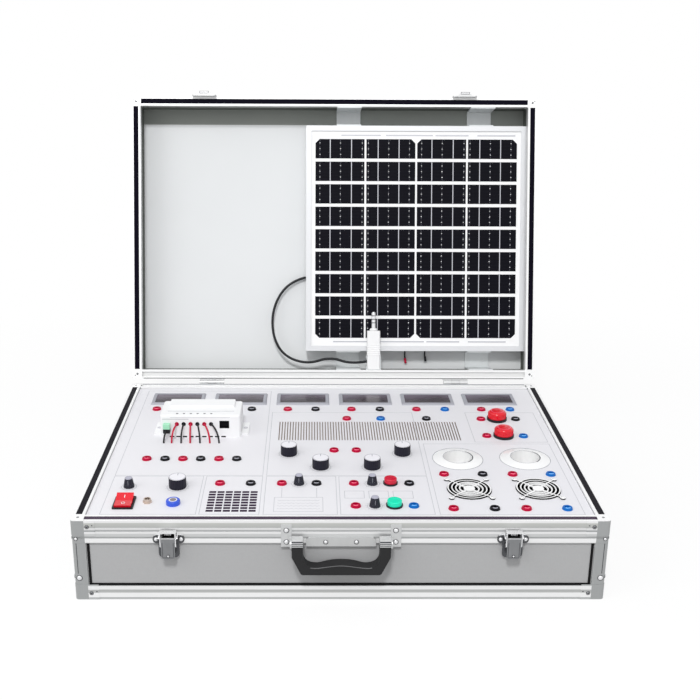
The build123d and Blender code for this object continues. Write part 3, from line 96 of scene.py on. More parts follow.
BENCH = Matrix.Scale(MM, 4)
LID = lid_place()
LID_UP = LID.to_3x3().col[1].normalized()
LID_OUT = LID.to_3x3().col[2].normalized()
LID_RIM = LID_OUT.dot(LID.translation) / MM


class Side(Enum):
    """Left or right of the case as its user sees it."""

    LEFT = -1
    RIGHT = 1


# Shader nodes


def math_operator(operation: str, turned: bool = False) -> "Callable[[Field, Union[Field, Number]], Field]":
    """An operator of a field that adds a Math node.

    Args:
        operation: The node's operation.
        turned: Whether the field is the second value.

    Returns:
        The method.
    """

    def apply(field: "Field", other: "Union[Field, Number]") -> "Field":
        """Add the node on both values."""
        return field.math(operation, other, field) if turned else field.math(operation, field, other)

    return apply


class Field:
    """One output of a shader node, which can be added, multiplied and compared like a number."""

    __add__ = math_operator("ADD")
    __radd__ = math_operator("ADD", True)
    __sub__ = math_operator("SUBTRACT")
    __rsub__ = math_operator("SUBTRACT", True)
    __mul__ = math_operator("MULTIPLY")
    __truediv__ = math_operator("DIVIDE")
    above = math_operator("GREATER_THAN")
    below = math_operator("LESS_THAN")

    def __init__(self, desk: "Desk", node: bpy.types.Node, key: Union[int, str] = 0) -> None:
        """Take an output.

        Args:
            desk: The node tree.
            node: The node in it.
            key: Name or index of the output.
        """
        self.desk = desk
        self.node = node
        self.key = key

    def output(self, key: Union[int, str]) -> "Field":
        """Another output of the same node."""
        return Field(self.desk, self.node, key)

    def math(self, operation: str, *values: "Union[Field, Number]") -> "Field":
        """Add a Math node on the values."""
        return self.desk.add("ShaderNodeMath", dict(enumerate(values)), operation=operation)

    def size(self) -> "Field":
        """The value without its sign."""
        return self.math("ABSOLUTE", self)

    def wave(self, length: Number) -> "Field":
        """A triangle wave of the value, from 0 to half its length."""
        return self.math("PINGPONG", self, length / 2)

    def clipped(self) -> "Field":
        """The value kept from 0 to 1."""
        return self.desk.add("ShaderNodeClamp", {"Value": self})


class Desk:
    """The node tree of one material or world."""

    def __init__(self, owner: Union[bpy.types.Material, bpy.types.World]) -> None:
        """Start an empty tree.

        Args:
            owner: The material or world.
        """
        owner.use_nodes = True
        self.owner = owner
        self.tree = owner.node_tree
        self.tree.nodes.clear()

    def add(self, kind: str, sockets: Optional[Sockets] = None, **settings: object) -> Field:
        """Add a node, set it and fill its sockets.

        Args:
            kind: The node's type.
            sockets: Values or fields by input name or index.
            settings: The node's settings.

        Returns:
            The node's first output.
        """
        node = self.tree.nodes.new(kind)
        for key, value in settings.items():
            setattr(node, key, value)
        for key, value in (sockets or {}).items():
            socket = node.inputs[key]
            if isinstance(value, Field):
                self.tree.links.new(value.node.outputs[value.key], socket)
            else:
                socket.default_value = (*value, 1.0) if socket.type == "RGBA" else value
        return Field(self, node)

    def place(self) -> Field:
        """Object coordinates, which are world metres at rest."""
        return self.add("ShaderNodeTexCoord").output("Object")

    def axes(self) -> tuple[Field, Field, Field]:
        """The three object coordinates in millimetres.

        Returns:
            X, Y and Z.
        """
        scaled = self.add("ShaderNodeVectorMath", {0: self.place(), "Scale": 1 / MM}, operation="SCALE")
        apart = self.add("ShaderNodeSeparateXYZ", {0: scaled})
        return apart, apart.output(1), apart.output(2)

    def along(self, direction: Vector) -> Field:
        """Millimetres along a direction."""
        sockets = {0: self.place(), 1: tuple(direction / MM)}
        return self.add("ShaderNodeVectorMath", sockets, operation="DOT_PRODUCT").output("Value")

    def noise(self, scale: Number, detail: Number = 3.0, stretch: Point = (1.0, 1.0, 1.0)) -> Field:
        """Noise on object coordinates.

        Args:
            scale: Features per metre.
            detail: Octaves.
            stretch: Scale along each axis, small along a grain.

        Returns:
            The noise from 0 to 1.
        """
        mapped = self.add("ShaderNodeMapping", {"Vector": self.place(), "Scale": stretch})
        return self.add("ShaderNodeTexNoise", {"Vector": mapped, "Scale": scale, "Detail": detail})

    def mix(self, share: Union[Field, Number], first: object, second: object) -> Field:
        """Two colours mixed by the share of the second."""
        return self.add("ShaderNodeMix", {0: share, 6: first, 7: second}, data_type="RGBA").output(2)

    def bump(self, height: Field, depth: Number, strength: Number) -> Field:
        """The normal of a height from 0 to 1 that is so many millimetres deep."""
        return self.add("ShaderNodeBump", {"Height": height, "Distance": depth * MM, "Strength": strength})

    def ramp(self, share: Field, stops: Sequence[tuple[float, Colour]]) -> Field:
        """A colour ramp.

        Args:
            share: Place on the ramp.
            stops: Places and colours, the lowest first.

        Returns:
            The colour.
        """
        ramp = self.add("ShaderNodeValToRGB", {0: share})
        elements = ramp.node.color_ramp.elements
        elements.remove(elements[1])
        for index, (place, colour) in enumerate(stops):
            stop = elements.new(place) if index else elements[0]
            stop.position = place
            stop.color = (*colour, 1.0)
        return ramp

    def surface(self, **sockets: object) -> bpy.types.Material:
        """Add the surface shader and the output.

        Args:
            sockets: Values of the shader's sockets, with underscores for spaces.

        Returns:
            The finished material.
        """
        named = {key.replace("_", " "): value for key, value in sockets.items()}
        self.add("ShaderNodeOutputMaterial", {0: self.add("ShaderNodeBsdfPrincipled", named)})
        return self.owner


# Finishes


@dataclass(frozen=True)
class Finish:
    """A named surface finish with two close colours and a roughness."""

    name: str
    colour: str
    second: str
    rough: float = 0.4

    def make(self, desk: Desk) -> bpy.types.Material:
        """Build the finish on a desk."""
        raise NotImplementedError

    def tone(self, desk: Desk, share: Field) -> Field:
        """The two colours mixed by the share of the second."""
        return desk.mix(share, srgb(self.colour), srgb(self.second))

    def material(self) -> bpy.types.Material:
        """The finish's material, made once."""
        return bpy.data.materials.get(self.name) or self.make(Desk(bpy.data.materials.new(self.name)))


@dataclass(frozen=True)
class Anodised(Finish):
    """Drawn aluminium with fine drawing lines along one axis and light handling marks."""

    grain: Point = (1.0, 60.0, 60.0)
    metal: float = 0.4

    def make(self, desk: Desk) -> bpy.types.Material:
        """Build the finish on a desk."""
        lines = desk.noise(18.0, 4.0, self.grain)
        clouds = desk.noise(9.0)
        return desk.surface(
            Base_Color=self.tone(desk, clouds * 0.5 + lines * 0.4), Metallic=self.metal,
            Roughness=self.rough - 0.06 + lines * 0.12 + clouds * 0.05, Normal=desk.bump(lines, 0.02, 0.35),
        )


@dataclass(frozen=True)
class Extrusion(Finish):
    """Drawn profile with painted highlights on its ribs and painted shade in its hollows, in bands at set
    heights along it, and satin corner posts.
    """

    rough: float = 0.3
    metal: float = 0.35
    rib_lines: str = "b4b7b9"
    axis: Point = (0.0, 0.0, 1.0)
    shading_bands: tuple[tuple[float, str], ...] = ()
    corner_in: float = 15.5
    corner_top: float = BASE_H - 0.3

    def make(self, desk: Desk) -> bpy.types.Material:
        """Build the finish on a desk."""
        low, high = self.shading_bands[0][0], self.shading_bands[-1][0]
        share = ((desk.along(Vector(self.axis)) - low) / (high - low)).clipped()
        # The ramp paints highlight and shade bands by height along the profile.
        ribs = desk.ramp(share, [((height - low) / (high - low), srgb(tone)) for height, tone in self.shading_bands])
        x, y, z = desk.axes()
        post = x.size().above(CASE_W / 2 - self.corner_in) * y.size().above(CASE_D / 2 - self.corner_in)
        post = post * z.below(self.corner_top)
        across = desk.noise(14.0, 4.0, (1.0, 1.0, 60.0))
        upright = desk.noise(14.0, 4.0, (60.0, 60.0, 1.0))
        lines = across * (1.0 - post) + upright * post
        clouds = desk.noise(11.0)
        ribs = desk.mix(lines * 0.12 + clouds * 0.08, ribs, srgb(self.rib_lines))
        return desk.surface(
            Base_Color=desk.mix(post, ribs, self.tone(desk, lines * 0.7)), Metallic=self.metal,
            Roughness=self.rough + lines * 0.14 + clouds * 0.05, Normal=desk.bump(lines, 0.02, 0.35),
        )


@dataclass(frozen=True)
class Plated(Finish):
    """Nickel or steel with a polished skin and hairline scratches."""

    rough: float = 0.2
    metal: float = 0.85

    def make(self, desk: Desk) -> bpy.types.Material:
        """Build the finish on a desk."""
        hairs = desk.noise(260.0, 3.0, (1.0, 1.0, 0.15))
        clouds = desk.noise(90.0, 2.0)
        return desk.surface(
            Base_Color=self.tone(desk, clouds * 0.5 + hairs * 0.3), Metallic=self.metal,
            Roughness=self.rough + hairs * 0.12, Normal=desk.bump(hairs, 0.003, 0.25),
        )


@dataclass(frozen=True)
class Moulded(Finish):
    """Moulded plastic with a fine spark-eroded grain."""

    grain_depth: float = 0.03
    coat: float = 0.0
    shine: float = 0.3

    def make(self, desk: Desk) -> bpy.types.Material:
        """Build the finish on a desk."""
        grain = desk.noise(900.0, 2.0)
        return desk.surface(
            Base_Color=self.tone(desk, desk.noise(30.0, 2.0) * 0.6), Roughness=self.rough + grain * 0.1,
            Coat_Weight=self.coat, Coat_Roughness=0.08, Specular_IOR_Level=self.shine,
            Normal=desk.bump(grain, self.grain_depth, 0.5),
        )


@dataclass(frozen=True)
class Board(Finish):
    """Grey laminate on board with a fine crossed texture."""

    def make(self, desk: Desk) -> bpy.types.Material:
        """Build the finish on a desk."""
        fine, cross = desk.noise(700.0, 2.0, (1.0, 1.0, 0.35)), desk.noise(420.0, 2.0, (0.35, 1.0, 1.0))
        weave = fine * 0.6 + cross * 0.4
        tone = self.tone(desk, (weave - 0.3) * 0.8 + desk.noise(7.0, 2.0) * 0.3)
        bump = desk.bump(weave, 0.05, 0.5)
        return desk.surface(Base_Color=tone, Roughness=self.rough + weave * 0.15, Normal=bump)


@dataclass(frozen=True)
class PrintedPanel(Finish):
    """Pale printed sheet with a slight orange-peel and a soft sheen."""

    def make(self, desk: Desk) -> bpy.types.Material:
        """Build the finish on a desk."""
        clouds = desk.noise(5.0)
        return desk.surface(
            Base_Color=self.tone(desk, clouds), Roughness=self.rough + clouds * 0.1, Specular_IOR_Level=0.4,
            Normal=desk.bump(desk.noise(500.0, 2.0), 0.02, 0.4),
        )


@dataclass(frozen=True)
class Ink(Finish):
    """Printed ink that has bled a little into the sheet."""

    rough: float = 0.5

    def make(self, desk: Desk) -> bpy.types.Material:
        """Build the finish on a desk."""
        blots = desk.noise(600.0, 2.0)
        return desk.surface(Base_Color=self.tone(desk, blots), Roughness=self.rough + blots * 0.1)


@dataclass(frozen=True)
class Cloth(Finish):
    """Lining with a fine woven surface."""

    rough: float = 0.72
    shine: float = 0.4

    def make(self, desk: Desk) -> bpy.types.Material:
        """Build the finish on a desk."""
        x, _, z = desk.axes()
        clouds = desk.noise(6.0)
        return desk.surface(
            Base_Color=self.tone(desk, clouds), Roughness=self.rough + clouds * 0.1,
            Specular_IOR_Level=self.shine, Normal=desk.bump(x.wave(1.1) + z.wave(1.1), 0.04, 0.5),
        )


@dataclass(frozen=True)
class Silicon(Finish):
    """Near-black solar cell with fine fingers across and slight tone changes from cell to cell."""

    finger: str = "555a66"

    def make(self, desk: Desk) -> bpy.types.Material:
        """Build the finish on a desk."""
        fingers = desk.along(LID_UP).wave(2.2).below(0.16)
        patches = desk.noise(14.0, 2.0)
        return desk.surface(
            Base_Color=desk.mix(fingers * 0.1, self.tone(desk, patches), srgb(self.finger)),
            Roughness=self.rough + patches * 0.08, Specular_IOR_Level=0.06,
            Normal=desk.bump(patches, 0.02, 0.3),
        )


@dataclass(frozen=True)
class SmokedWindow(Finish):
    """Dark glossy meter window with a painted reflection, palest at its far edge and curving once across each
    meter.
    """

    near: float = 148.0
    reach: float = 34.0
    reflection_pitch: float = 93.7

    def make(self, desk: Desk) -> bpy.types.Material:
        """Build the finish on a desk."""
        x, y, _ = desk.axes()
        haze = desk.noise(22.0, 2.0, (1.0, 2.0, 1.0))
        # The painted reflection's edge curves once per meter along the row.
        swell = (x + 500.0).wave(self.reflection_pitch) / (self.reflection_pitch / 2)
        fade = ((y - self.near) / self.reach + swell * 0.35 - 0.3 + (haze - 0.5) * 0.4).clipped()
        return desk.surface(
            Base_Color=self.tone(desk, fade), Roughness=self.rough + desk.noise(800.0, 2.0) * 0.06,
            Coat_Weight=0.25, Coat_Roughness=0.03, Specular_IOR_Level=0.3, Normal=desk.bump(haze, 0.05, 0.15),
        )


@dataclass(frozen=True)
class Lens(Finish):
    """Coloured lens or cap in clear-tinted gloss plastic with depth under its skin."""

    def make(self, desk: Desk) -> bpy.types.Material:
        """Build the finish on a desk."""
        scuffs = desk.noise(400.0)
        return desk.surface(
            Base_Color=self.tone(desk, desk.noise(70.0, 2.0) * 0.5), Roughness=self.rough + scuffs * 0.08,
            Coat_Weight=0.3, Coat_Roughness=0.06, Specular_IOR_Level=0.35,
            Normal=desk.bump(scuffs, 0.01, 0.3),
        )


@dataclass(frozen=True)
class CappedKnob(Finish):
    """Moulded knob with a pale cap let into its top."""

    cap: str = "ebeaef"
    cap_height: float = PANEL_TOP + 13.95

    def make(self, desk: Desk) -> bpy.types.Material:
        """Build the finish on a desk."""
        top = desk.axes()[2].above(self.cap_height)
        grain = desk.noise(800.0, 2.0)
        return desk.surface(
            Base_Color=desk.mix(top, self.tone(desk, grain * 0.6), srgb(self.cap)),
            Roughness=self.rough + grain * 0.1, Specular_IOR_Level=0.25, Normal=desk.bump(grain, 0.03, 0.4),
        )


# Painted highlight and shade on the base profile by height in millimetres: bright bands for light on the ribs,
# grey ones for shade in the grooves.
BASE_SHADING_BANDS = (
    (0.0, "8c8e8f"), (0.6, "c8c9c9"), (2.4, "b0b2b2"), (3.2, "fcfcfc"), (8.6, "fdfdfd"),
    (9.4, "bdbebd"), (12.8, "b7b8b7"), (13.6, "f6f6f6"), (17.6, "fbfbfb"), (19.0, "b4b6b6"),
    (74.0, "b4b6b6"), (75.6, "c9caca"), (76.8, "fafafa"), (81.4, "fcfcfc"), (82.4, "a0a2a3"),
    (83.6, "aeb0b0"), (84.4, "cfd0d0"), (87.6, "d2d3d3"), (88.4, "f4f4f4"), (90.4, "f2f2f2"),
    (91.2, "909294"), (92.2, "a2a4a5"), (93.0, "dcdcdc"), (95.0, "f4f4f4"), (96.0, "b2b3b2"),
    (97.0, "bdbebb"), (101.6, "c8c9c5"), (102.6, "f4f4f4"), (105.6, "fcfcfc"),
)
# The same painted highlight and shade bands on the lid's profile, by depth from its rim.
LID_SHADING_BANDS = (
    (-54.0, "c9caca"), (-41.5, "e6e6e6"), (-40.5, "a9abab"), (-22.5, "a9abab"), (-21.5, "f4f4f4"),
    (-15.0, "f6f6f6"), (-14.0, "9c9e9f"), (-12.8, "dddddd"), (-10.2, "f2f2f2"), (-9.4, "a3a5a6"),
    (-8.4, "c4c5c3"), (-3.2, "cbccca"), (-2.2, "f6f6f6"), (0.6, "fbfbfb"),
)
ALUMINIUM = Anodised("aluminium_profile", "e2e3e4", "cdcfd1", 0.34)
ALUMINIUM_PV = Anodised("solar_panel_frame", "e4e5e7", "d3d5d8", 0.38)
CASE_METAL = Extrusion("base_aluminium_profile", "a9abab", "a2a4a5", shading_bands=BASE_SHADING_BANDS)
LID_METAL = Extrusion(
    "lid_aluminium_profile", "a9abab", "a2a4a5", axis=tuple(LID_OUT), corner_in=-9.0,
    shading_bands=tuple((LID_RIM + depth, tone) for depth, tone in LID_SHADING_BANDS),
)
NICKEL = Plated("nickel_plate", "8f9092", "747678", 0.24)
# Darker nickel for dark screws, seams and sleeves, and for painted shade in seats, grooves, notches, crescents
# and gaps.
DARK_NICKEL = Plated("shaded_nickel", "5b5c5f", "47484b", 0.3)
BRIGHT = Plated("bright_chrome", "f2f2f3", "dcdde0", 0.2, 0.45)
SATIN = Plated("satin_nickel", "d4d5d5", "c2c3c4", 0.32, 0.5)
MOUNT = Plated("handle_bridge_nickel", "cdcece", "bcbdbd", 0.3, 0.55)
STEEL = Plated("zinc_plated_steel", "b4b8b9", "a2a6a7", 0.34, 0.3)
BRACKET = Plated("zinc_plated_bracket", "d8dbdc", "c8cccd", 0.36, 0.25)
BUSBAR = Plated("silver_busbar", "c6c7ce", "b2b3bb", 0.34, 0.3)
SOLDER = Plated("dull_solder", "4c4d57", "3d3e48", 0.5, 0.2)
BRASS = Plated("pale_brass", "e4d5c8", "b3a093", 0.28)
COPPER = Plated("copper_contact", "d9d3c6", "bcb4a4", 0.25)
BOARD = Board("grey_board_laminate", "b3b3b4", "c0c1c1", 0.5)
PANEL = PrintedPanel("printed_instrument_sheet", "e8e7ea", "e1e1e6", 0.42)
# Grey print, here also drawing the rear seams and the painted shadow lines round the lampholders.
INK_AND_SHADOW = Ink("grey_print", "8e9196", "a9acb1")
PALE_INK = Ink("pale_print", "bdbec3", "c9cace")
LINING = Cloth("lid_lining_cloth", "e5e7e8", "dee0e1")
# The walls' lining is the same cloth as the back, written darker: painted shade.
SHADED_WALL = Cloth("lid_wall_lining", "686b67", "60635f", shine=0.03)
# Painted shade along the top of the lining's back, below the top wall.
TOP_SHADE = Cloth("lid_top_band", "a1a5a0", "999d98", shine=0.05)
STRIP = Moulded("dark_rim_strip", "403245", "4a3b4c", 0.45, shine=0.2)
SIDE_STRIP = Moulded("dark_side_strip", "1b1a1f", "29282d", 0.55, shine=0.05)
LID_STRIP = Moulded("dark_lid_strip", "0c0a16", "120f1c", 0.55, shine=0.03)
GASKET = Moulded("black_gasket", "0b0b0d", "131315", 0.6, shine=0.15)
BLACK = Moulded("black_moulding", "15151a", "1f1f25", 0.42)
# Black for the fan frames, the rotors and dark controller terminal parts, and painted shade in slots, the
# latch windows and between the guard wires.
BLACK_AND_SHADE = Moulded("dark_recess", "08080b", "0e0e12", 0.7, shine=0.1)
HANDLE = Moulded("handle_moulding", "29292a", "222223", 0.5, 0.08, shine=0.22)
# A paler line along the grip's upper edge: painted highlight.
HANDLE_HIGHLIGHT = Moulded("handle_ridge", "6a6a6b", "5c5c5e")
GREY = Moulded("grey_bezel", "a8a9b1", "9899a2")
BUTTON_CENTRE = Moulded("button_centre", "8c8286", "7c7377")
WHITE = Moulded("white_moulding", "f4f4f4", "ecedee", 0.3, 0.01, 0.2)
BACKING = Moulded("white_backing_film", "fafafa", "f3f4f5", 0.3, 0.01, 0.2)
CONTROLLER = Moulded("controller_case_white", "f4f4f5", "eceeef", 0.38, 0.02)
RED_SOCKET = Moulded("red_socket", "bc0238", "a0022f", 0.3, 0.01, shine=0.15)
BLACK_SOCKET = Moulded("black_socket", "0b0b10", "131319", 0.3, 0.01, shine=0.15)
BLUE_SOCKET = Moulded("blue_socket", "0a6abf", "085ca8", 0.3, 0.01, shine=0.15)
# Paler tones of the sockets' colours: painted highlights on the sockets' near lips and on the pilot lenses'
# tops.
RED_LIP_HIGHLIGHT = Moulded("red_socket_lip", "ff7391", "fb5c80", 0.2, 0.01, 0.2)
BLACK_LIP_HIGHLIGHT = Moulded("black_socket_lip", "b3b3bd", "9696a1", 0.2, 0.01, 0.2)
BLUE_LIP_HIGHLIGHT = Moulded("blue_socket_lip", "79c0ff", "5cabf5", 0.2, 0.01, 0.2)
VENT_SHADE = Moulded("inverter_shade", "b1a39c", "a2948d", 0.7, shine=0.1)
SOUND_SHADE = Moulded("buzzer_shade", "503f57", "44344a", 0.7, shine=0.1)
RED_WIRE = Moulded("red_wire", "c3113c", "b51238")
BLACK_WIRE = Moulded("black_wire", "16171b", "1d1e23")
RED_LENS = Lens("red_lamp_lens", "ec0b24", "a90a1c", 0.16)
RED_CAP = Lens("red_button_cap", "d81237", "b50c2c", 0.22)
GREEN_CAP = Lens("green_button_cap", "00ebbe", "00cfa4", 0.22)
GREEN_BLOCK = Lens("green_terminal_block", "a6e6c2", "88cfa8", 0.3)
BLUE_RING = Lens("blue_button_collar", "2a57dd", "2148bd", 0.25)
SILICON = Silicon("solar_cell", "07070d", "0d0c15", 0.48)
# The second colour is the painted reflection on the meter windows.
WINDOW = SmokedWindow("smoked_meter_window", "2b1f29", "776d7c", 0.14)
BIG_KNOB = CappedKnob("capped_range_knob", "171624", "23212f")
# The small knobs' pale cap is partly their lighter top, partly a painted highlight.
SMALL_KNOB = CappedKnob("capped_trim_knob", "252630", "33343e", cap="b4b4c3", cap_height=PANEL_TOP + 12.1)


# Forms


def box_form(size: Point, bevel: float = 0.0, segments: int = 2) -> bmesh.types.BMesh:
    """A block centred on the origin with rounded edges.

    Args:
        size: Millimetres along each axis.
        bevel: Edge width, or none.
        segments: Steps of the rounding.

    Returns:
        The form.
    """
    form = bmesh.new()
    bmesh.ops.create_cube(form, size=1.0, matrix=Matrix.Diagonal((*size, 1.0)))
    if bevel:
        bmesh.ops.bevel(
            form, geom=list(form.edges), offset=bevel, segments=segments, profile=0.5, affect="EDGES",
            material=-1,
        )
    return form


def turned_form(profile: Sequence[tuple[float, float]], steps: int = 32) -> bmesh.types.BMesh:
    """A profile of radius and height points spun round Z.

    Args:
        profile: Radius and height of each point, from the foot to the top. A ring repeats its first point.
        steps: Steps of the full turn.

    Returns:
        The form.
    """
    form = bmesh.new()
    verts = [form.verts.new((radius, 0.0, height)) for radius, height in profile]
    edges = [form.edges.new(pair) for pair in zip(verts, verts[1:])]
    bmesh.ops.spin(
        form, geom=verts + edges, axis=(0, 0, 1), cent=(0, 0, 0), angle=2 * math.pi, steps=steps,
        use_merge=True,
    )
    bmesh.ops.remove_doubles(form, verts=list(form.verts), dist=1e-4)
    bmesh.ops.recalc_face_normals(form, faces=list(form.faces))
    for face in form.faces:
        face.smooth = True
    return form


def ring_form(outer: float, inner: float, height: float, steps: int = 24) -> bmesh.types.BMesh:
    """A flat ring standing on the origin."""
    return turned_form([(outer, 0), (outer, height), (inner, height), (inner, 0), (outer, 0)], steps)


def dome_form(radius: float, height: float, steps: int = 16) -> bmesh.types.BMesh:
    """A low rivet or screw head."""
    arc = [(radius * math.cos(a), height * math.sin(a)) for a in (0.0, 0.4, 0.8, 1.2)]
    return turned_form([(radius, -0.2), *arc, (0.0, height)], steps)


def at(x: float, y: float, z: float, turn: float = 0.0, axis: str = "Z") -> Matrix:
    """A place in millimetres with a turn in degrees about an axis."""
    return Matrix.Translation((x, y, z)) @ Matrix.Rotation(math.radians(turn), 4, axis)


def polar(x: float, y: float, z: float, reach: float, angle: float) -> Matrix:
    """A place some way from a centre on a bearing in degrees, turned to that bearing."""
    away = math.radians(angle)
    return at(x + reach * math.cos(away), y + reach * math.sin(away), z, angle)


def stand(name: str, data: bpy.types.ID) -> bpy.types.Object:
    """Put a new object into the scene."""
    item = bpy.data.objects.new(name, data)
    bpy.context.scene.collection.objects.link(item)
    return item


class Workpiece:
    """A mesh put together from forms that becomes one finished piece."""

    def __init__(self, name: str, *finishes: Finish) -> None:
        """Start an empty piece.

        Args:
            name: The piece's name.
            finishes: Its finishes, used by index.
        """
        self.name = name
        self.finishes = finishes
        self.mesh = bmesh.new()

    def add(self, form: bmesh.types.BMesh, place: Optional[Matrix] = None, finish: int = 0) -> "Workpiece":
        """Put a copy of a form in place.

        Args:
            form: The form, which stays as it is.
            place: Its place in millimetres.
            finish: Index of its finish.

        Returns:
            The workpiece.
        """
        scratch = bpy.data.meshes.new("scratch")
        form.to_mesh(scratch)
        if place is not None:
            scratch.transform(place)
            if place.determinant() < 0:
                scratch.flip_normals()
        for face in scratch.polygons:
            face.material_index = finish
        self.mesh.from_mesh(scratch)
        bpy.data.meshes.remove(scratch)
        return self

    def ride(self, body: str, place: Matrix = BENCH) -> bpy.types.Object:
        """Finish the piece and put it on a body.

        Args:
            body: The CAD body that carries it.
            place: From millimetres to world metres.

        Returns:
            The object.
        """
        data = bpy.data.meshes.new(self.name)
        self.mesh.to_mesh(data)
        self.mesh.free()
        data.transform(place)
        for finish in self.finishes:
            data.materials.append(finish.material())
        piece = stand(self.name, data)
        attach(piece, body)
        LOG.info("%s: %d faces on %s", self.name, len(data.polygons), body)
        return piece


def wire_piece(
    name: str, points: Sequence[Point], radius: float, finish: Finish, body: str, place: Matrix = BENCH
) -> bpy.types.Object:
    """A round wire along one smooth spline.

    Args:
        name: The piece's name.
        points: Control points in millimetres.
        radius: Radius in millimetres.
        finish: Its finish.
        body: The CAD body that carries it.
        place: From millimetres to world metres.

    Returns:
        The curve object.
    """
    curve = bpy.data.curves.new(name, "CURVE")
    curve.dimensions = "3D"
    curve.bevel_depth = radius * MM
    curve.bevel_resolution = 4
    curve.resolution_u = 10
    curve.use_fill_caps = True
    spline = curve.splines.new("NURBS")
    spline.points.add(len(points) - 1)
    for point, where in zip(spline.points, points):
        point.co = (*(place @ Vector(where)), 1.0)
    spline.order_u = 3
    spline.use_endpoint_u = True
    curve.materials.append(finish.material())
    piece = stand(name, curve)
    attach(piece, body)
    LOG.info("%s: wire of %d points on %s", name, len(points), body)
    return piece


def dress(nodes: Union[str, Sequence[str]], *finishes: Finish, choose: Optional[Choice] = None) -> None:
    """Give CAD nodes their finishes.

    Args:
        nodes: Names of the nodes.
        finishes: One finish, or several with a choice.
        choose: From a face's centre in millimetres and its normal to the index of its finish.
    """
    for name in [nodes] if isinstance(nodes, str) else nodes:
        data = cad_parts[name].data
        data.materials.clear()
        for finish in finishes:
            data.materials.append(finish.material())
        for face in data.polygons:
            face.material_index = choose(face.center / MM, face.normal) if choose else 0
        LOG.info("%s: dressed in %s", name, ", ".join(finish.name for finish in finishes))


# Sub-assemblies


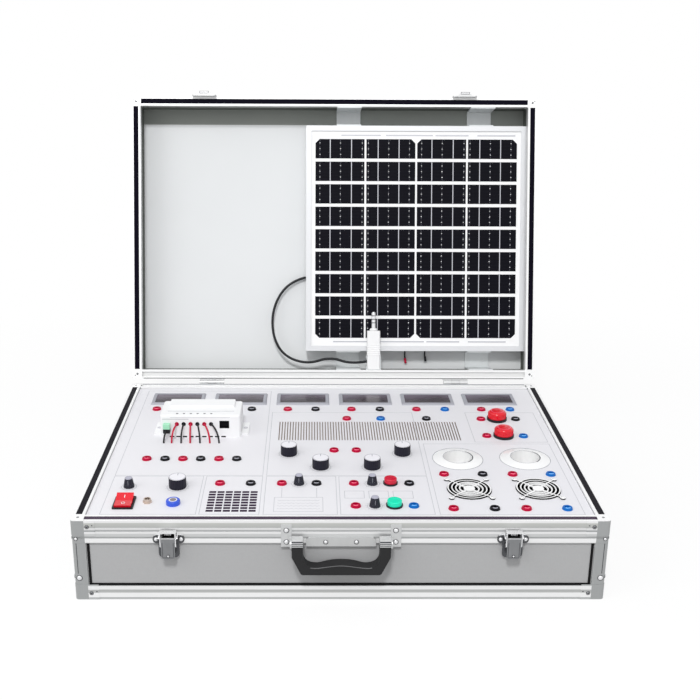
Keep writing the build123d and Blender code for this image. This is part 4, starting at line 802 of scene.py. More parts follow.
@dataclass
class Case:
    """The two trays with their profiles, gaskets, rivets and screws."""

    gasket_in: float = 1.7
    rail_low: float = 75.5
    edge_h: float = 18.0
    post_w: float = 17.0
    gasket_w: float = 3.2
    rivets: tuple[tuple[float, ...], ...] = ((310.0, 81.0, 1.8, 1.1), (309.0, 29.0, 3.1, 1.7))
    screws: tuple[tuple[float, float], ...] = ((296.0, 97.0), (296.0, 8.5))
    notches: tuple[tuple[float, float], ...] = ((290.0, 98.8), (289.6, 10.6))
    strip_x: float = 302.0
    lining_wall: float = 303.7
    lining_end: float = 207.7
    lining_back: float = -45.0
    band_low: float = 182.8
    seam_widths: tuple[float, float] = (2.8, 1.0)
    hook_x: float = 201.5
    hook: Point = (14.0, 3.6, 1.5)
    hook_rise: float = 5.2
    hook_front: float = 9.0
    cap_in: float = 7.5
    mark_in: tuple[float, float] = (4.2, 5.2)
    lid_screw_in: float = 20.0
    screw_proud: float = 0.4
    lid_screw_depths: tuple[float, float] = (-10.0, -46.0)
    caps_proud: float = 0.5

    def dress(self) -> None:
        """Finish the CAD nodes of the case."""
        dress(["base_shell", "lid_shell"], BOARD)
        dress(["base_rim_frame", "base_edge_frame"], CASE_METAL)
        dress(["lid_rim_frame", "lid_edge_frame"], LID_METAL)
        dress("base_rim_strips", STRIP, SIDE_STRIP, choose=lambda spot, _: int(abs(spot.x) > self.strip_x))
        dress("lid_rim_strips", LID_STRIP)
        # The lining's walls take the darker copy of the cloth, painted shade.
        dress("lid_lining", LINING, SHADED_WALL, choose=lambda _, normal: int(abs(normal.dot(LID_OUT)) < 0.5))
        dress(["hinge_base_leaves", "hinge_lid_leaves"], SATIN)

    def gaskets(self) -> None:
        """Black gaskets where the boards meet their profiles, on all four sides of the base."""
        piece = Workpiece("base_gaskets", GASKET)
        tall, wide = self.rail_low - self.edge_h, self.gasket_w
        for half, width, turn in ((CASE_D / 2, CASE_W, 0.0), (CASE_W / 2, CASE_D, 90.0)):
            run, face = width - 2 * self.post_w, -half + self.gasket_in
            for flip in (0.0, 180.0):
                spin = Matrix.Rotation(math.radians(turn + flip), 4, "Z")
                piece.add(box_form((run, 1.0, wide), 0.3), spin @ at(0, face, self.edge_h + wide / 2))
                for side in (-1, 1):
                    place = spin @ at(side * (run - wide) / 2, face, self.edge_h + tall / 2)
                    piece.add(box_form((wide, 1.0, tall), 0.3), place)
        piece.ride("base")

    def corner_set(self, piece: Workpiece, half: float, face: float, turn: float) -> None:
        """Rivets, a groove and screws at the two ends of one side of the base.

        Args:
            piece: The workpiece that takes them.
            half: Half the length of the side.
            face: Distance of the side's face from the centre.
            turn: Degrees from the front to this side.
        """
        spin = Matrix.Rotation(math.radians(turn), 4, "Z")
        inward = half - CASE_W / 2
        (post_x, top, _, _), (_, foot, _, _) = self.rivets
        groove = box_form((0.8, 0.4, top - foot - 12.0))
        # Dark nickel paints shade here: rings round the rivets and screws, the groove, the screw slots and the
        # notches.
        for side in (-1, 1):
            for x, z, radius, height in self.rivets:
                place = spin @ at(side * (x + inward), -face, z, 90.0, "X")
                piece.add(dome_form(radius, height), place)
                piece.add(ring_form(radius + 0.6, radius - 0.4, 0.3, 20), place, 1)
            piece.add(groove, spin @ at(side * (post_x + inward), -face, (top + foot) / 2), 1)
            for x, z in self.screws:
                place = spin @ at(side * (x + inward), -face - self.caps_proud, z, 90.0, "X")
                piece.add(self.screw_head(), place, 2)
                piece.add(ring_form(2.6, 2.1, 0.2, 20), place, 1)
                piece.add(box_form((2.6, 0.6, 0.5)), place @ at(0, 0, 1.0, 40.0), 1)
            for x, z in self.notches:
                place = spin @ at(side * (x + inward), -face - self.caps_proud, z)
                piece.add(box_form((1.6, 0.3, 1.3), 0.1), place, 1)

    def fasteners(self) -> None:
        """Rivets on the corner posts and small screws on the corner caps."""
        base = Workpiece("base_corner_rivets", BRIGHT, DARK_NICKEL, NICKEL)
        lid = Workpiece("lid_corner_rivets", NICKEL, DARK_NICKEL)
        half_w, half_d = CASE_W / 2, CASE_D / 2
        for half, face, turns in ((half_w, half_d, (0, 180)), (half_d, half_w, (90, -90))):
            for turn in turns:
                self.corner_set(base, half, face, turn)
        head, screw = dome_form(1.8, 0.15), self.screw_head()
        for side in (-1, 1):
            for up in (-1, 1):
                x, y = side * (half_w - self.cap_in), up * (half_d - self.cap_in)
                base.add(head, at(x, y, BASE_H + self.caps_proud), 2)
                lid.add(head, at(x, y, self.caps_proud))
                x, y = side * (half_w - self.mark_in[0]), up * (half_d - self.mark_in[1])
                lid.add(box_form((1.3, 1.3, 0.3)), at(x, y, self.caps_proud), 1)
                x, y = side * (half_w - self.lid_screw_in), up * (half_d - self.lid_screw_in)
                for depth in self.lid_screw_depths:
                    lid.add(screw, at(side * (half_w + self.screw_proud), y, depth, 90 * side, "Y"))
                    lid.add(screw, at(x, up * (half_d + self.screw_proud), depth, -90 * up, "X"))
        base.ride("base")
        lid.ride("lid", LID)

    def lining_shades(self) -> None:
        """Black lines of painted shadow where the lining's walls meet its back and near the rim, and a grey
        band of painted shade along the top of the back.
        """
        # Black lines of painted shadow in the corners of the lining and near its rim.
        piece = Workpiece("lining_piping", BLACK)
        across, along = 2 * self.lining_wall, 2 * self.lining_end
        for depth, width in ((self.lining_back + 0.6, 1.0), (-4.6, 1.8)):
            for end in (-1, 1):
                piece.add(box_form((across, 0.7, width), 0.2), at(0, end * self.lining_end, depth))
            for end in (-1, 1):
                piece.add(box_form((0.7, along, width), 0.2), at(end * self.lining_wall, 0, depth))
        piece.ride("lid", LID)
        # A grey band of painted shade along the top of the lining's back.
        band = Workpiece("lining_top_band", TOP_SHADE)
        tall = self.lining_end - 0.3 - self.band_low
        form = box_form((across - 0.6, tall, 0.3), 0.1)
        band.add(form, at(0, self.band_low + tall / 2, self.lining_back + 0.1))
        band.ride("lid", LID)

    def rear_seams(self) -> None:
        """Grey seams along the rear edges of the two rims, between the caps."""
        run = CASE_W - 2 * self.post_w
        wide, fine = self.seam_widths
        base = Workpiece("base_rear_seam", INK_AND_SHADOW)
        base.add(box_form((run, wide, 0.2)), at(0, CASE_D / 2 - 0.2 - wide / 2, BASE_H + 0.05))
        base.ride("base")
        lid = Workpiece("lid_rear_seam", DARK_NICKEL)
        lid.add(box_form((run, fine, 0.2)), at(0, -CASE_D / 2 + 0.2 + fine / 2, 0.05))
        lid.ride("lid", LID)

    def strike_hooks(self) -> None:
        """A narrow hook that stands on each strike's lip, with dark lines of painted shade along its edges."""
        piece = Workpiece("strike_hooks", BRIGHT, DARK_NICKEL)
        wide, tall, thick = self.hook
        for side in (-1, 1):
            x, y = side * self.hook_x, CASE_D / 2 + self.hook_rise
            piece.add(box_form(self.hook, 0.4), at(x, y, self.hook_front - thick / 2))
            front = self.hook_front + 0.05
            # Dark lines of painted shade along the hook's edges.
            for edge in (-wide / 2 + 0.4, wide / 2 - 0.4):
                piece.add(box_form((0.6, tall, 0.15)), at(x + edge, y, front), 1)
            for edge in (-tall / 2 + 0.3, tall / 2 - 0.3):
                piece.add(box_form((wide, 0.5, 0.15)), at(x, y + edge, front), 1)
        piece.ride("lid", LID)

    def screw_head(self) -> bmesh.types.BMesh:
        """A small domed screw head with a recess, standing on the origin."""
        return turned_form([(2.2, -0.2), (2.2, 0.5), (1.8, 0.95), (0.9, 1.1), (0.7, 0.55), (0.0, 0.5)], 16)

    def build(self) -> None:
        """Dress and detail the case."""
        self.dress()
        self.gaskets()
        self.fasteners()
        self.lining_shades()
        self.rear_seams()
        self.strike_hooks()


@dataclass
class PanelPrint:
    """Grey lines, dials and symbols printed on the instrument panel."""

    line: float = 0.8
    proud: float = 0.1
    ink_z: float = PANEL_TOP + 0.05
    lead_x: tuple[float, float] = (-71.5, -28.3)
    lead_y: tuple[float, float] = (-155.0, -129.9)
    groups: tuple[tuple[float, float, float, float], ...] = (
        (-285.0, -95.0, -97.0, 196.0),
        (-285.0, -198.0, -172.0, -97.5),
        (-168.0, -198.0, -97.0, -97.5),
        (-92.0, -95.0, 112.0, 112.0),
        (-92.0, -198.0, -4.0, -97.5),
        (0.0, -198.0, 112.0, -97.5),
        (118.0, -198.0, 290.0, 2.0),
        (190.0, 8.0, 290.0, 112.0),
    )
    boxes: tuple[tuple[float, float, float, float], ...] = (
        (-80.0, -191.0, -21.0, -155.0),
        (6.0, -157.0, 30.0, -138.0),
        (36.0, -157.0, 60.0, -138.0),
        (66.0, -157.0, 90.0, -138.0),
    )
    waves: tuple[float, ...] = (-184.0, -177.0, -170.0, -163.0)
    wave_in: float = 4.0
    wave_steps: int = 18
    wave_slope: float = 28.0
    dial_gap: float = 2.4
    ticks: int = 11
    first_tick: float = 225.0
    tick_pitch: float = -27.0

    def frame_lines(self, piece: Workpiece, corners: tuple[float, float, float, float]) -> None:
        """Four printed lines round a rectangle.

        Args:
            piece: The workpiece that takes them.
            corners: Left, near, right and far edges.
        """
        left, near, right, far = corners
        across = box_form((right - left + self.line, self.line, self.proud))
        along = box_form((self.line, far - near, self.proud))
        for y in (near, far):
            piece.add(across, at((left + right) / 2, y, self.ink_z))
        for x in (left, right):
            piece.add(along, at(x, (near + far) / 2, self.ink_z))

    def wave_lines(self, piece: Workpiece) -> None:
        """Wavy printed lines in the first single box.

        Args:
            piece: The workpiece that takes them.
        """
        left, _, right, _ = self.boxes[0]
        pitch = (right - left - 2 * self.wave_in) / self.wave_steps
        stroke = box_form((pitch * 1.15, 0.6, self.proud))
        for y in self.waves:
            for index in range(self.wave_steps):
                turn = self.wave_slope if index % 2 else -self.wave_slope
                piece.add(stroke, at(left + self.wave_in + (index + 0.5) * pitch, y, self.ink_z, turn))

    def groups_print(self) -> None:
        """Frames round the groups of instruments, the single boxes and the printed leads."""
        piece = Workpiece("panel_group_lines", PALE_INK)
        for corners in self.groups + self.boxes:
            self.frame_lines(piece, corners)
        near, far = self.lead_y
        lead = box_form((self.line, far - near, self.proud))
        for x in self.lead_x:
            piece.add(lead, at(x, (near + far) / 2, self.ink_z))
        self.wave_lines(piece)
        piece.ride("base")

    def dials(self, knobs: Sequence[tuple[float, float, float]]) -> None:
        """A printed circle round each knob's foot, with a few ticks.

        Args:
            knobs: Place and skirt radius of each knob.
        """
        piece = Workpiece("panel_dial_marks", PALE_INK)
        tick = box_form((1.5, 0.5, self.proud))
        for x, y, radius in knobs:
            reach = radius + self.dial_gap
            piece.add(ring_form(reach + 0.35, reach - 0.35, self.proud, 40), at(x, y, PANEL_TOP))
            for index in range(self.ticks):
                angle = self.first_tick + self.tick_pitch * index
                piece.add(tick, polar(x, y, self.ink_z, reach + 1.6, angle))
        piece.ride("base")


@dataclass
class Instruments:
    """Meters, sockets, knobs, switches, lamps and fans on the panel."""

    big_knobs: tuple[tuple[str, float, float], ...] = (
        ("range_knob_far_left", -65.0, -30.5),
        ("range_knob_near_left", -23.0, -71.0),
        ("range_knob_near_right", 44.0, -71.0),
        ("range_knob_far_right", 86.5, -29.5),
        ("supply_knob", -201.5, -127.0),
    )
    small_knobs: tuple[tuple[str, float, float], ...] = (
        ("output_trim_knob", -262.0, -127.0),
        ("timer_trim_knob", -50.5, -118.5),
        ("stop_trim_knob", 41.5, -118.5),
        ("start_trim_knob", 41.5, -177.5),
    )
    lamps: tuple[tuple[float, float], ...] = ((233.0, 87.0), (232.5, 28.0))
    lamp_r: float = 13.4
    lamp_foot: float = 3.6
    lamp_h: float = 14.6
    lamp_ribs: int = 28
    rocker: tuple[float, float] = (-260.5, -170.5)
    rocker_tilt: float = 9.0
    rocker_run: float = 13.0
    rocker_rise: float = 2.2
    mark_y: float = 6.6
    ring: tuple[float, float] = (-201.5, -171.5)
    collar_r: float = 12.0
    jack_right: float = -220.0
    solids_apart: float = 14.0
    fans: tuple[tuple[float, float], ...] = ((161.5, -133.0), (247.5, -133.0))
    hub_r: float = 13.0
    bright_r: float = 19.0
    contact_r: float = 6.5
    contact_z: tuple[float, float] = (85.8, 95.5)
    holder_screws: tuple[float, float] = (35.0, 215.0)
    screw_step: float = 25.0
    lampholders: tuple[tuple[float, float], ...] = ((158.7, -45.0), (248.0, -45.0))
    vents: tuple[float, float, float, float] = (-83.0, 12.5, 173.5, 79.0)
    grille: tuple[float, float, float, float] = (-163.0, -194.5, -99.0, -135.5)

    def dress(self) -> None:
        """Finish the CAD nodes of the panel."""
        plain = {
            "meter_cases": GREY, "meter_windows": WINDOW, "potentiometers": STEEL,
            "switch_and_lamp_bodies": BLACK,
            "sockets_red": RED_SOCKET, "sockets_black": BLACK_SOCKET, "sockets_blue": BLUE_SOCKET,
            "pilot_lamp_lenses": RED_LENS, "power_rocker": RED_LENS, "red_button": RED_CAP,
            "green_button": GREEN_CAP, "ring_button": WHITE, "fan_frames": BLACK_AND_SHADE, "battery": BLACK,
            "buzzer": BLACK, "inverter": ALUMINIUM,
        }
        for name, finish in plain.items():
            dress(name, finish)
        dress([name for name, _, _ in self.big_knobs], BIG_KNOB)
        dress([name for name, _, _ in self.small_knobs], SMALL_KNOB)
        dress("instrument_panel", PANEL, VENT_SHADE, SOUND_SHADE, choose=self.slot_wall)
        dress("button_collars_and_jack", BLACK, BLUE_RING, BRASS, choose=self.collar_part)
        dress("lampholders", WHITE, COPPER, choose=self.holder_part)
        dress(["fan_1_rotor", "fan_2_rotor"], BLACK_AND_SHADE, BACKING, choose=self.rotor_part)
        dress("fan_guards", BACKING, BLACK_AND_SHADE, choose=self.guard_part)

    @staticmethod
    def reach(place: Vector, axes: Sequence[tuple[float, float]]) -> float:
        """Distance of a place from the nearest of some upright axes."""
        return min(math.hypot(place.x - x, place.y - y) for x, y in axes)

    def collar_part(self, centre: Vector, _: Vector) -> int:
        """Index for a collar's face: 1 on the ring button's, 2 on the jack, which is the leftmost."""
        return 1 if abs(centre.x - self.ring[0]) < self.collar_r else 2 if centre.x < self.jack_right else 0

    def holder_part(self, centre: Vector, _: Vector) -> int:
        """Index for a lampholder's face: 1 on its contacts, low in the cup."""
        low, high = self.contact_z
        return int(low < centre.z < high and self.reach(centre, self.lampholders) < self.contact_r)

    def rotor_part(self, centre: Vector, _: Vector) -> int:
        """Index for a rotor's face: 1 on its hub."""
        return int(self.reach(centre, self.fans) < self.hub_r)

    def guard_part(self, centre: Vector, normal: Vector) -> int:
        """Index for a guard's face: 1 in the shade between the outer wires."""
        return int(abs(normal.z) <= 0.5 and self.reach(centre, self.fans) >= self.bright_r)

    def slot_wall(self, centre: Vector, normal: Vector) -> int:
        """Index for a face of the panel: the walls of the vents and of the sound slots are shaded.

        Args:
            centre: The face's centre in millimetres.
            normal: Its normal.

        Returns:
            1 in the vents, 2 in the sound slots, 0 elsewhere.
        """
        if abs(normal.z) > 0.5:
            return 0
        for index, (left, near, right, far) in enumerate((self.vents, self.grille)):
            if left < centre.x < right and near < centre.y < far:
                return index + 1
        return 0

    def socket_trim(self) -> None:
        """A plated sleeve and a near lip in a paler tone of the socket's colour, a painted highlight, in every
        safety socket, found from the sockets' solids.
        """
        sleeves = Workpiece("socket_sleeves", DARK_NICKEL)
        sleeve = ring_form(1.95, 1.45, 12.0, 16)
        lip_highlights = Workpiece("socket_lips", RED_LIP_HIGHLIGHT, BLACK_LIP_HIGHLIGHT, BLUE_LIP_HIGHLIGHT)
        lip = self.lip_form()
        for index, name in enumerate(("sockets_red", "sockets_black", "sockets_blue")):
            for x, y in self.centres(name):
                sleeves.add(sleeve, at(x, y, PANEL_TOP - 11.6))
                lip_highlights.add(lip, at(x, y, PANEL_TOP + 2.35), index)
        sleeves.ride("base")
        lip_highlights.ride("base")

    def lip_form(self) -> bmesh.types.BMesh:
        """The near half of a rounded lip round a socket's bore.

        Returns:
            The form, on the socket's top.
        """
        form = bmesh.new()
        middle, radius = 3.2, 0.9
        start = math.radians(215.0)
        across = Vector((math.cos(start), math.sin(start), 0.0))
        ring = [
            form.verts.new(across * (middle + radius * math.cos(a)) + Vector((0, 0, radius * math.sin(a))))
            for a in (0.0, 0.8, 1.57, 2.34, math.pi)
        ]
        edges = [form.edges.new(pair) for pair in zip(ring, ring[1:])] + [form.edges.new((ring[-1], ring[0]))]
        bmesh.ops.spin(
            form, geom=ring + edges, axis=(0, 0, 1), cent=(0, 0, 0), angle=math.radians(110.0), steps=10,
        )
        bmesh.ops.holes_fill(form, edges=list(form.edges))
        bmesh.ops.recalc_face_normals(form, faces=list(form.faces))
        for face in form.faces:
            face.smooth = len(face.verts) == 4
        return form

    def shades(self) -> None:
        """Dark films under the vent slots and the sound slots, so that the slots read dark from above."""
        piece = Workpiece("slot_shades", VENT_SHADE, SOUND_SHADE)
        for index, (left, near, right, far) in enumerate((self.vents, self.grille)):
            size = (right - left, far - near, 0.2)
            piece.add(box_form(size), at((left + right) / 2, (near + far) / 2, PANEL_TOP - 3.15), index)
        piece.ride("base")

    def centres(self, node: str) -> list[tuple[float, float]]:
        """Centres of the separate solids of a node, seen from above.

        Args:
            node: The CAD node.

        Returns:
            Their places in millimetres.
        """
        found: list[list[float]] = []
        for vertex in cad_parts[node].data.vertices:
            x, y = vertex.co.x / MM, vertex.co.y / MM
            for group in found:
                if max(abs(group[0] - x), abs(group[1] - y)) < self.solids_apart:
                    group[2:] = [min(group[2], x), max(group[3], x), min(group[4], y), max(group[5], y)]
                    break
            else:
                found.append([x, y, x, x, y, y])
        return [((g[2] + g[3]) / 2, (g[4] + g[5]) / 2) for g in found]

    def pointers(self) -> None:
        """Grey pointer lines and rings on the knobs, and a white line down the big ones' far side."""
        big = (
            (box_form((0.9, 6.0, 0.3), 0.1), at(0, 6.5, 14.3), 1),
            (box_form((0.9, 0.5, 12.0), 0.1), at(0, 10.7, 7.0), 0),
            (ring_form(10.2, 9.7, 0.25, 40), at(0, 0, 14.15), 1),
        )
        small = (
            (box_form((0.5, 0.4, 8.0), 0.1), at(0, -5.75, 6.8, 11.0, "X"), 1),
            (ring_form(4.3, 3.8, 0.2, 24), at(0, 0, 12.55), 1),
        )
        for knobs, marks in ((self.big_knobs, big), (self.small_knobs, small)):
            for name, x, y in knobs:
                piece = Workpiece(f"{name}_pointer", WHITE, GREY)
                for form, place, ink in marks:
                    piece.add(form, at(x, y, PANEL_TOP) @ place, ink)
                piece.ride(name)

    def lenses(self) -> None:
        """Domed pilot lamp lenses with moulded ribs round their skirts and a ring of painted highlight on top.
        """
        piece = Workpiece("pilot_lenses_ribbed", RED_LENS, RED_LIP_HIGHLIGHT)
        r, tall = self.lamp_r, self.lamp_h - self.lamp_foot
        profile = [
            (0.0, 0.0), (r - 0.3, 0.0), (r - 0.3, 0.4), (r - 0.9, tall - 3.4), (r - 1.6, tall - 2.2),
            (r - 3.2, tall - 1.0), (r - 6.5, tall - 0.2), (0.0, tall),
        ]
        shell = turned_form(profile, 48)
        rib = box_form((1.0, 1.0, tall - 3.6), 0.35)
        glint = ring_form(r - 4.2, r - 5.0, 0.12, 32)
        for x, y in self.lamps:
            piece.add(shell, at(x, y, PANEL_TOP + self.lamp_foot))
            piece.add(glint, at(x, y, PANEL_TOP + self.lamp_h - 0.62), 1)
            for index in range(self.lamp_ribs):
                z = PANEL_TOP + self.lamp_foot + tall / 2 - 1.6
                piece.add(rib, polar(x, y, z, r - 0.75, 360.0 * index / self.lamp_ribs))
        done = piece.ride("base")
        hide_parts("pilot_lamp_lenses")

    def rocker_marks(self) -> None:
        """The line and the ring that mark on and off on the rocker."""
        piece = Workpiece("rocker_marks", WHITE)
        x, y = self.rocker
        tilt = at(x, y, PANEL_TOP + 1.0, self.rocker_tilt, "X")
        slope = math.degrees(math.atan2(self.rocker_rise, self.rocker_run))
        piece.add(box_form((0.9, 4.6, 0.3), 0.1), tilt @ at(0, self.mark_y, 4.62, slope, "X"))
        piece.add(ring_form(2.4, 1.7, 0.3, 20), tilt @ at(0, -self.mark_y, 4.48, -slope, "X"))
        piece.ride("power_rocker")

    def ring_centre(self) -> None:
        """A grey disc let into the ring button's pale cap."""
        piece = Workpiece("ring_button_centre", BUTTON_CENTRE)
        x, y = self.ring
        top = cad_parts["ring_button"].data
        height = max(vertex.co.z for vertex in top.vertices) / MM
        disc = turned_form([(0.0, 0.0), (4.0, 0.0), (4.0, 0.2), (3.6, 0.3), (0.0, 0.3)], 24)
        piece.add(disc, at(x, y, height - 0.1))
        piece.ride("ring_button")

    def holder_rings(self) -> None:
        """Fine shadow lines round the lampholders' rims, a shaded crescent at each bore, and the screws."""
        piece = Workpiece("lampholder_lines", INK_AND_SHADOW, DARK_NICKEL)
        crescent = box_form((1.1, 2.9, 0.3))
        for x, y in self.lampholders:
            piece.add(ring_form(33.5, 32.9, 0.25, 56), at(x, y, PANEL_TOP))
            piece.add(ring_form(19.5, 19.0, 0.3, 48), at(x, y, PANEL_TOP + 2.85))
            for angle in range(-48, 49, 8):
                piece.add(crescent, polar(x, y, PANEL_TOP + 3.0, 19.7, angle), 1)
            for angle in self.holder_screws:
                place = polar(x, y, PANEL_TOP - 16.0, 11.0, angle) @ at(0, 0, 0, -angle)
                piece.add(dome_form(1.8, 0.9), place)
        piece.ride("base")

    def fan_screws(self) -> None:
        """Four screws on each fan guard."""
        piece = Workpiece("fan_guard_screws", BRIGHT)
        screw = dome_form(2.3, 1.2)
        for x, y in self.fans:
            for dx in (-self.screw_step, self.screw_step):
                for dy in (-self.screw_step, self.screw_step):
                    piece.add(screw, at(x + dx, y + dy, PANEL_TOP + 1.6))
        piece.ride("base")

    def build(self) -> None:
        """Dress the panel and add its small parts."""
        self.dress()
        self.socket_trim()
        self.shades()
        self.pointers()
        self.lenses()
        self.rocker_marks()
        self.ring_centre()
        self.holder_rings()
        self.fan_screws()
        prints = PanelPrint()
        prints.groups_print()
        knobs = [(x, y, 10.8) for _, x, y in self.big_knobs] + [(x, y, 6.8) for _, x, y in self.small_knobs]
        prints.dials(knobs)


@dataclass
class ChargeController:
    """The white charge controller, its terminals and its leads into the panel."""

    front: float = 22.0
    centre_x: float = -188.0
    terminal_x: float = -220.2
    pitch: float = 9.4
    terminal_z: float = PANEL_TOP + 20.4
    bend_z: float = PANEL_TOP + 17.4
    lead_r: float = 1.2
    lead_y: float = 4.5
    ends: tuple[float, ...] = (-226.0, -213.1, -200.7, -187.3, -173.8, -161.2)
    block_right: float = -228.0
    block_low: float = PANEL_TOP + 11.5
    row_right: float = -164.0
    plug_x: float = -234.0
    plug_z: float = PANEL_TOP + 15.5
    plug_h: float = 12.8
    supply_x: float = -236.8
    foot_x: float = 60.5
    foot_y: float = 49.0
    slots: int = 9
    slot_x: float = -227.6
    slot_pitch: float = 8.9

    def dress(self) -> None:
        """Finish the CAD nodes of the controller."""
        dress("controller_case", CONTROLLER)

        def pick(c: Vector, _: Vector) -> int:
            """Index for a terminal's face: red or black in the row, green on the block, dark beyond them."""
            if c.x < self.block_right:
                return 3 if c.z < self.block_low else 2
            if c.x > self.row_right:
                return 3
            return int(round((c.x - self.terminal_x) / self.pitch)) % 2

        dress("controller_terminals", RED_SOCKET, BLACK_SOCKET, GREEN_BLOCK, BLACK_AND_SHADE, choose=pick)

    def leads(self) -> None:
        """Leads into the panel: red and black in turn from the terminals, a black one from the plug."""
        low = self.plug_z - self.plug_h / 4
        routes = []
        for index, end in enumerate(self.ends):
            start = (self.terminal_x + index * self.pitch, self.front, self.terminal_z)
            routes.append((start, (end, self.lead_y + 0.8, self.bend_z)))
        routes.append(((self.plug_x, self.front - 7.0, low), (self.supply_x, self.lead_y + 0.5, low - 1.0)))
        for index, (start, bend) in enumerate(routes):
            points = [start, bend, (bend[0], self.lead_y, PANEL_TOP - 3.0)]
            finish = BLACK_WIRE if index % 2 or index == len(self.ends) else RED_WIRE
            wire_piece(f"controller_lead_{index + 1}", points, self.lead_r, finish, "base")
        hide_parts("controller_leads")

    def details(self) -> None:
        """Terminal screws and collars, foot slots, the supply plug and the seams of the case."""
        piece = Workpiece("controller_trim", NICKEL, GREY, PALE_INK, BLACK_AND_SHADE, BLACK, RED_SOCKET)
        screw = dome_form(1.7, 0.5, 12)
        face = self.front - 0.05
        for index in range(len(self.ends)):
            x = self.terminal_x + index * self.pitch
            piece.add(screw, at(x, self.front + 7.0, PANEL_TOP + 33.0))
            collar = ring_form(2.9, 1.9, 0.5, 20)
            piece.add(collar, at(x, self.front, self.terminal_z, 90.0, "X"), 4 if index % 2 else 5)
        for dx in (-self.foot_x, self.foot_x):
            piece.add(dome_form(3.0, 1.5), at(self.centre_x + dx, self.foot_y, PANEL_TOP + 3.0), 2)
        # The foot slots are dark boxes on the front: painted shade for their openings.
        for index in range(self.slots):
            x = self.slot_x + index * self.slot_pitch
            piece.add(box_form((6.1, 0.4, 1.7)), at(x, self.front + 0.1, PANEL_TOP + 1.6), 3)
        piece.add(box_form((9.6, 7.4, 6.0), 0.6), at(self.plug_x, self.front - 3.8, PANEL_TOP + 12.2), 4)
        seams = (
            (92.0, 0.6, 0.0, face + 15.0, 33.3, 2), (82.0, 0.5, 0.0, face, 30.0, 2),
            (36.0, 1.0, -34.0, face, 27.6, 2), (13.8, 11.6, 33.0, self.front + 2.6, 19.6, 3),
        )
        for wide, tall, dx, y, rise, ink in seams:
            piece.add(box_form((wide, 0.3, tall), 0.1), at(self.centre_x + dx, y, PANEL_TOP + rise), ink)
        piece.ride("base")

    def build(self) -> None:
        """Dress and detail the controller."""
        self.dress()
        self.leads()
        self.details()


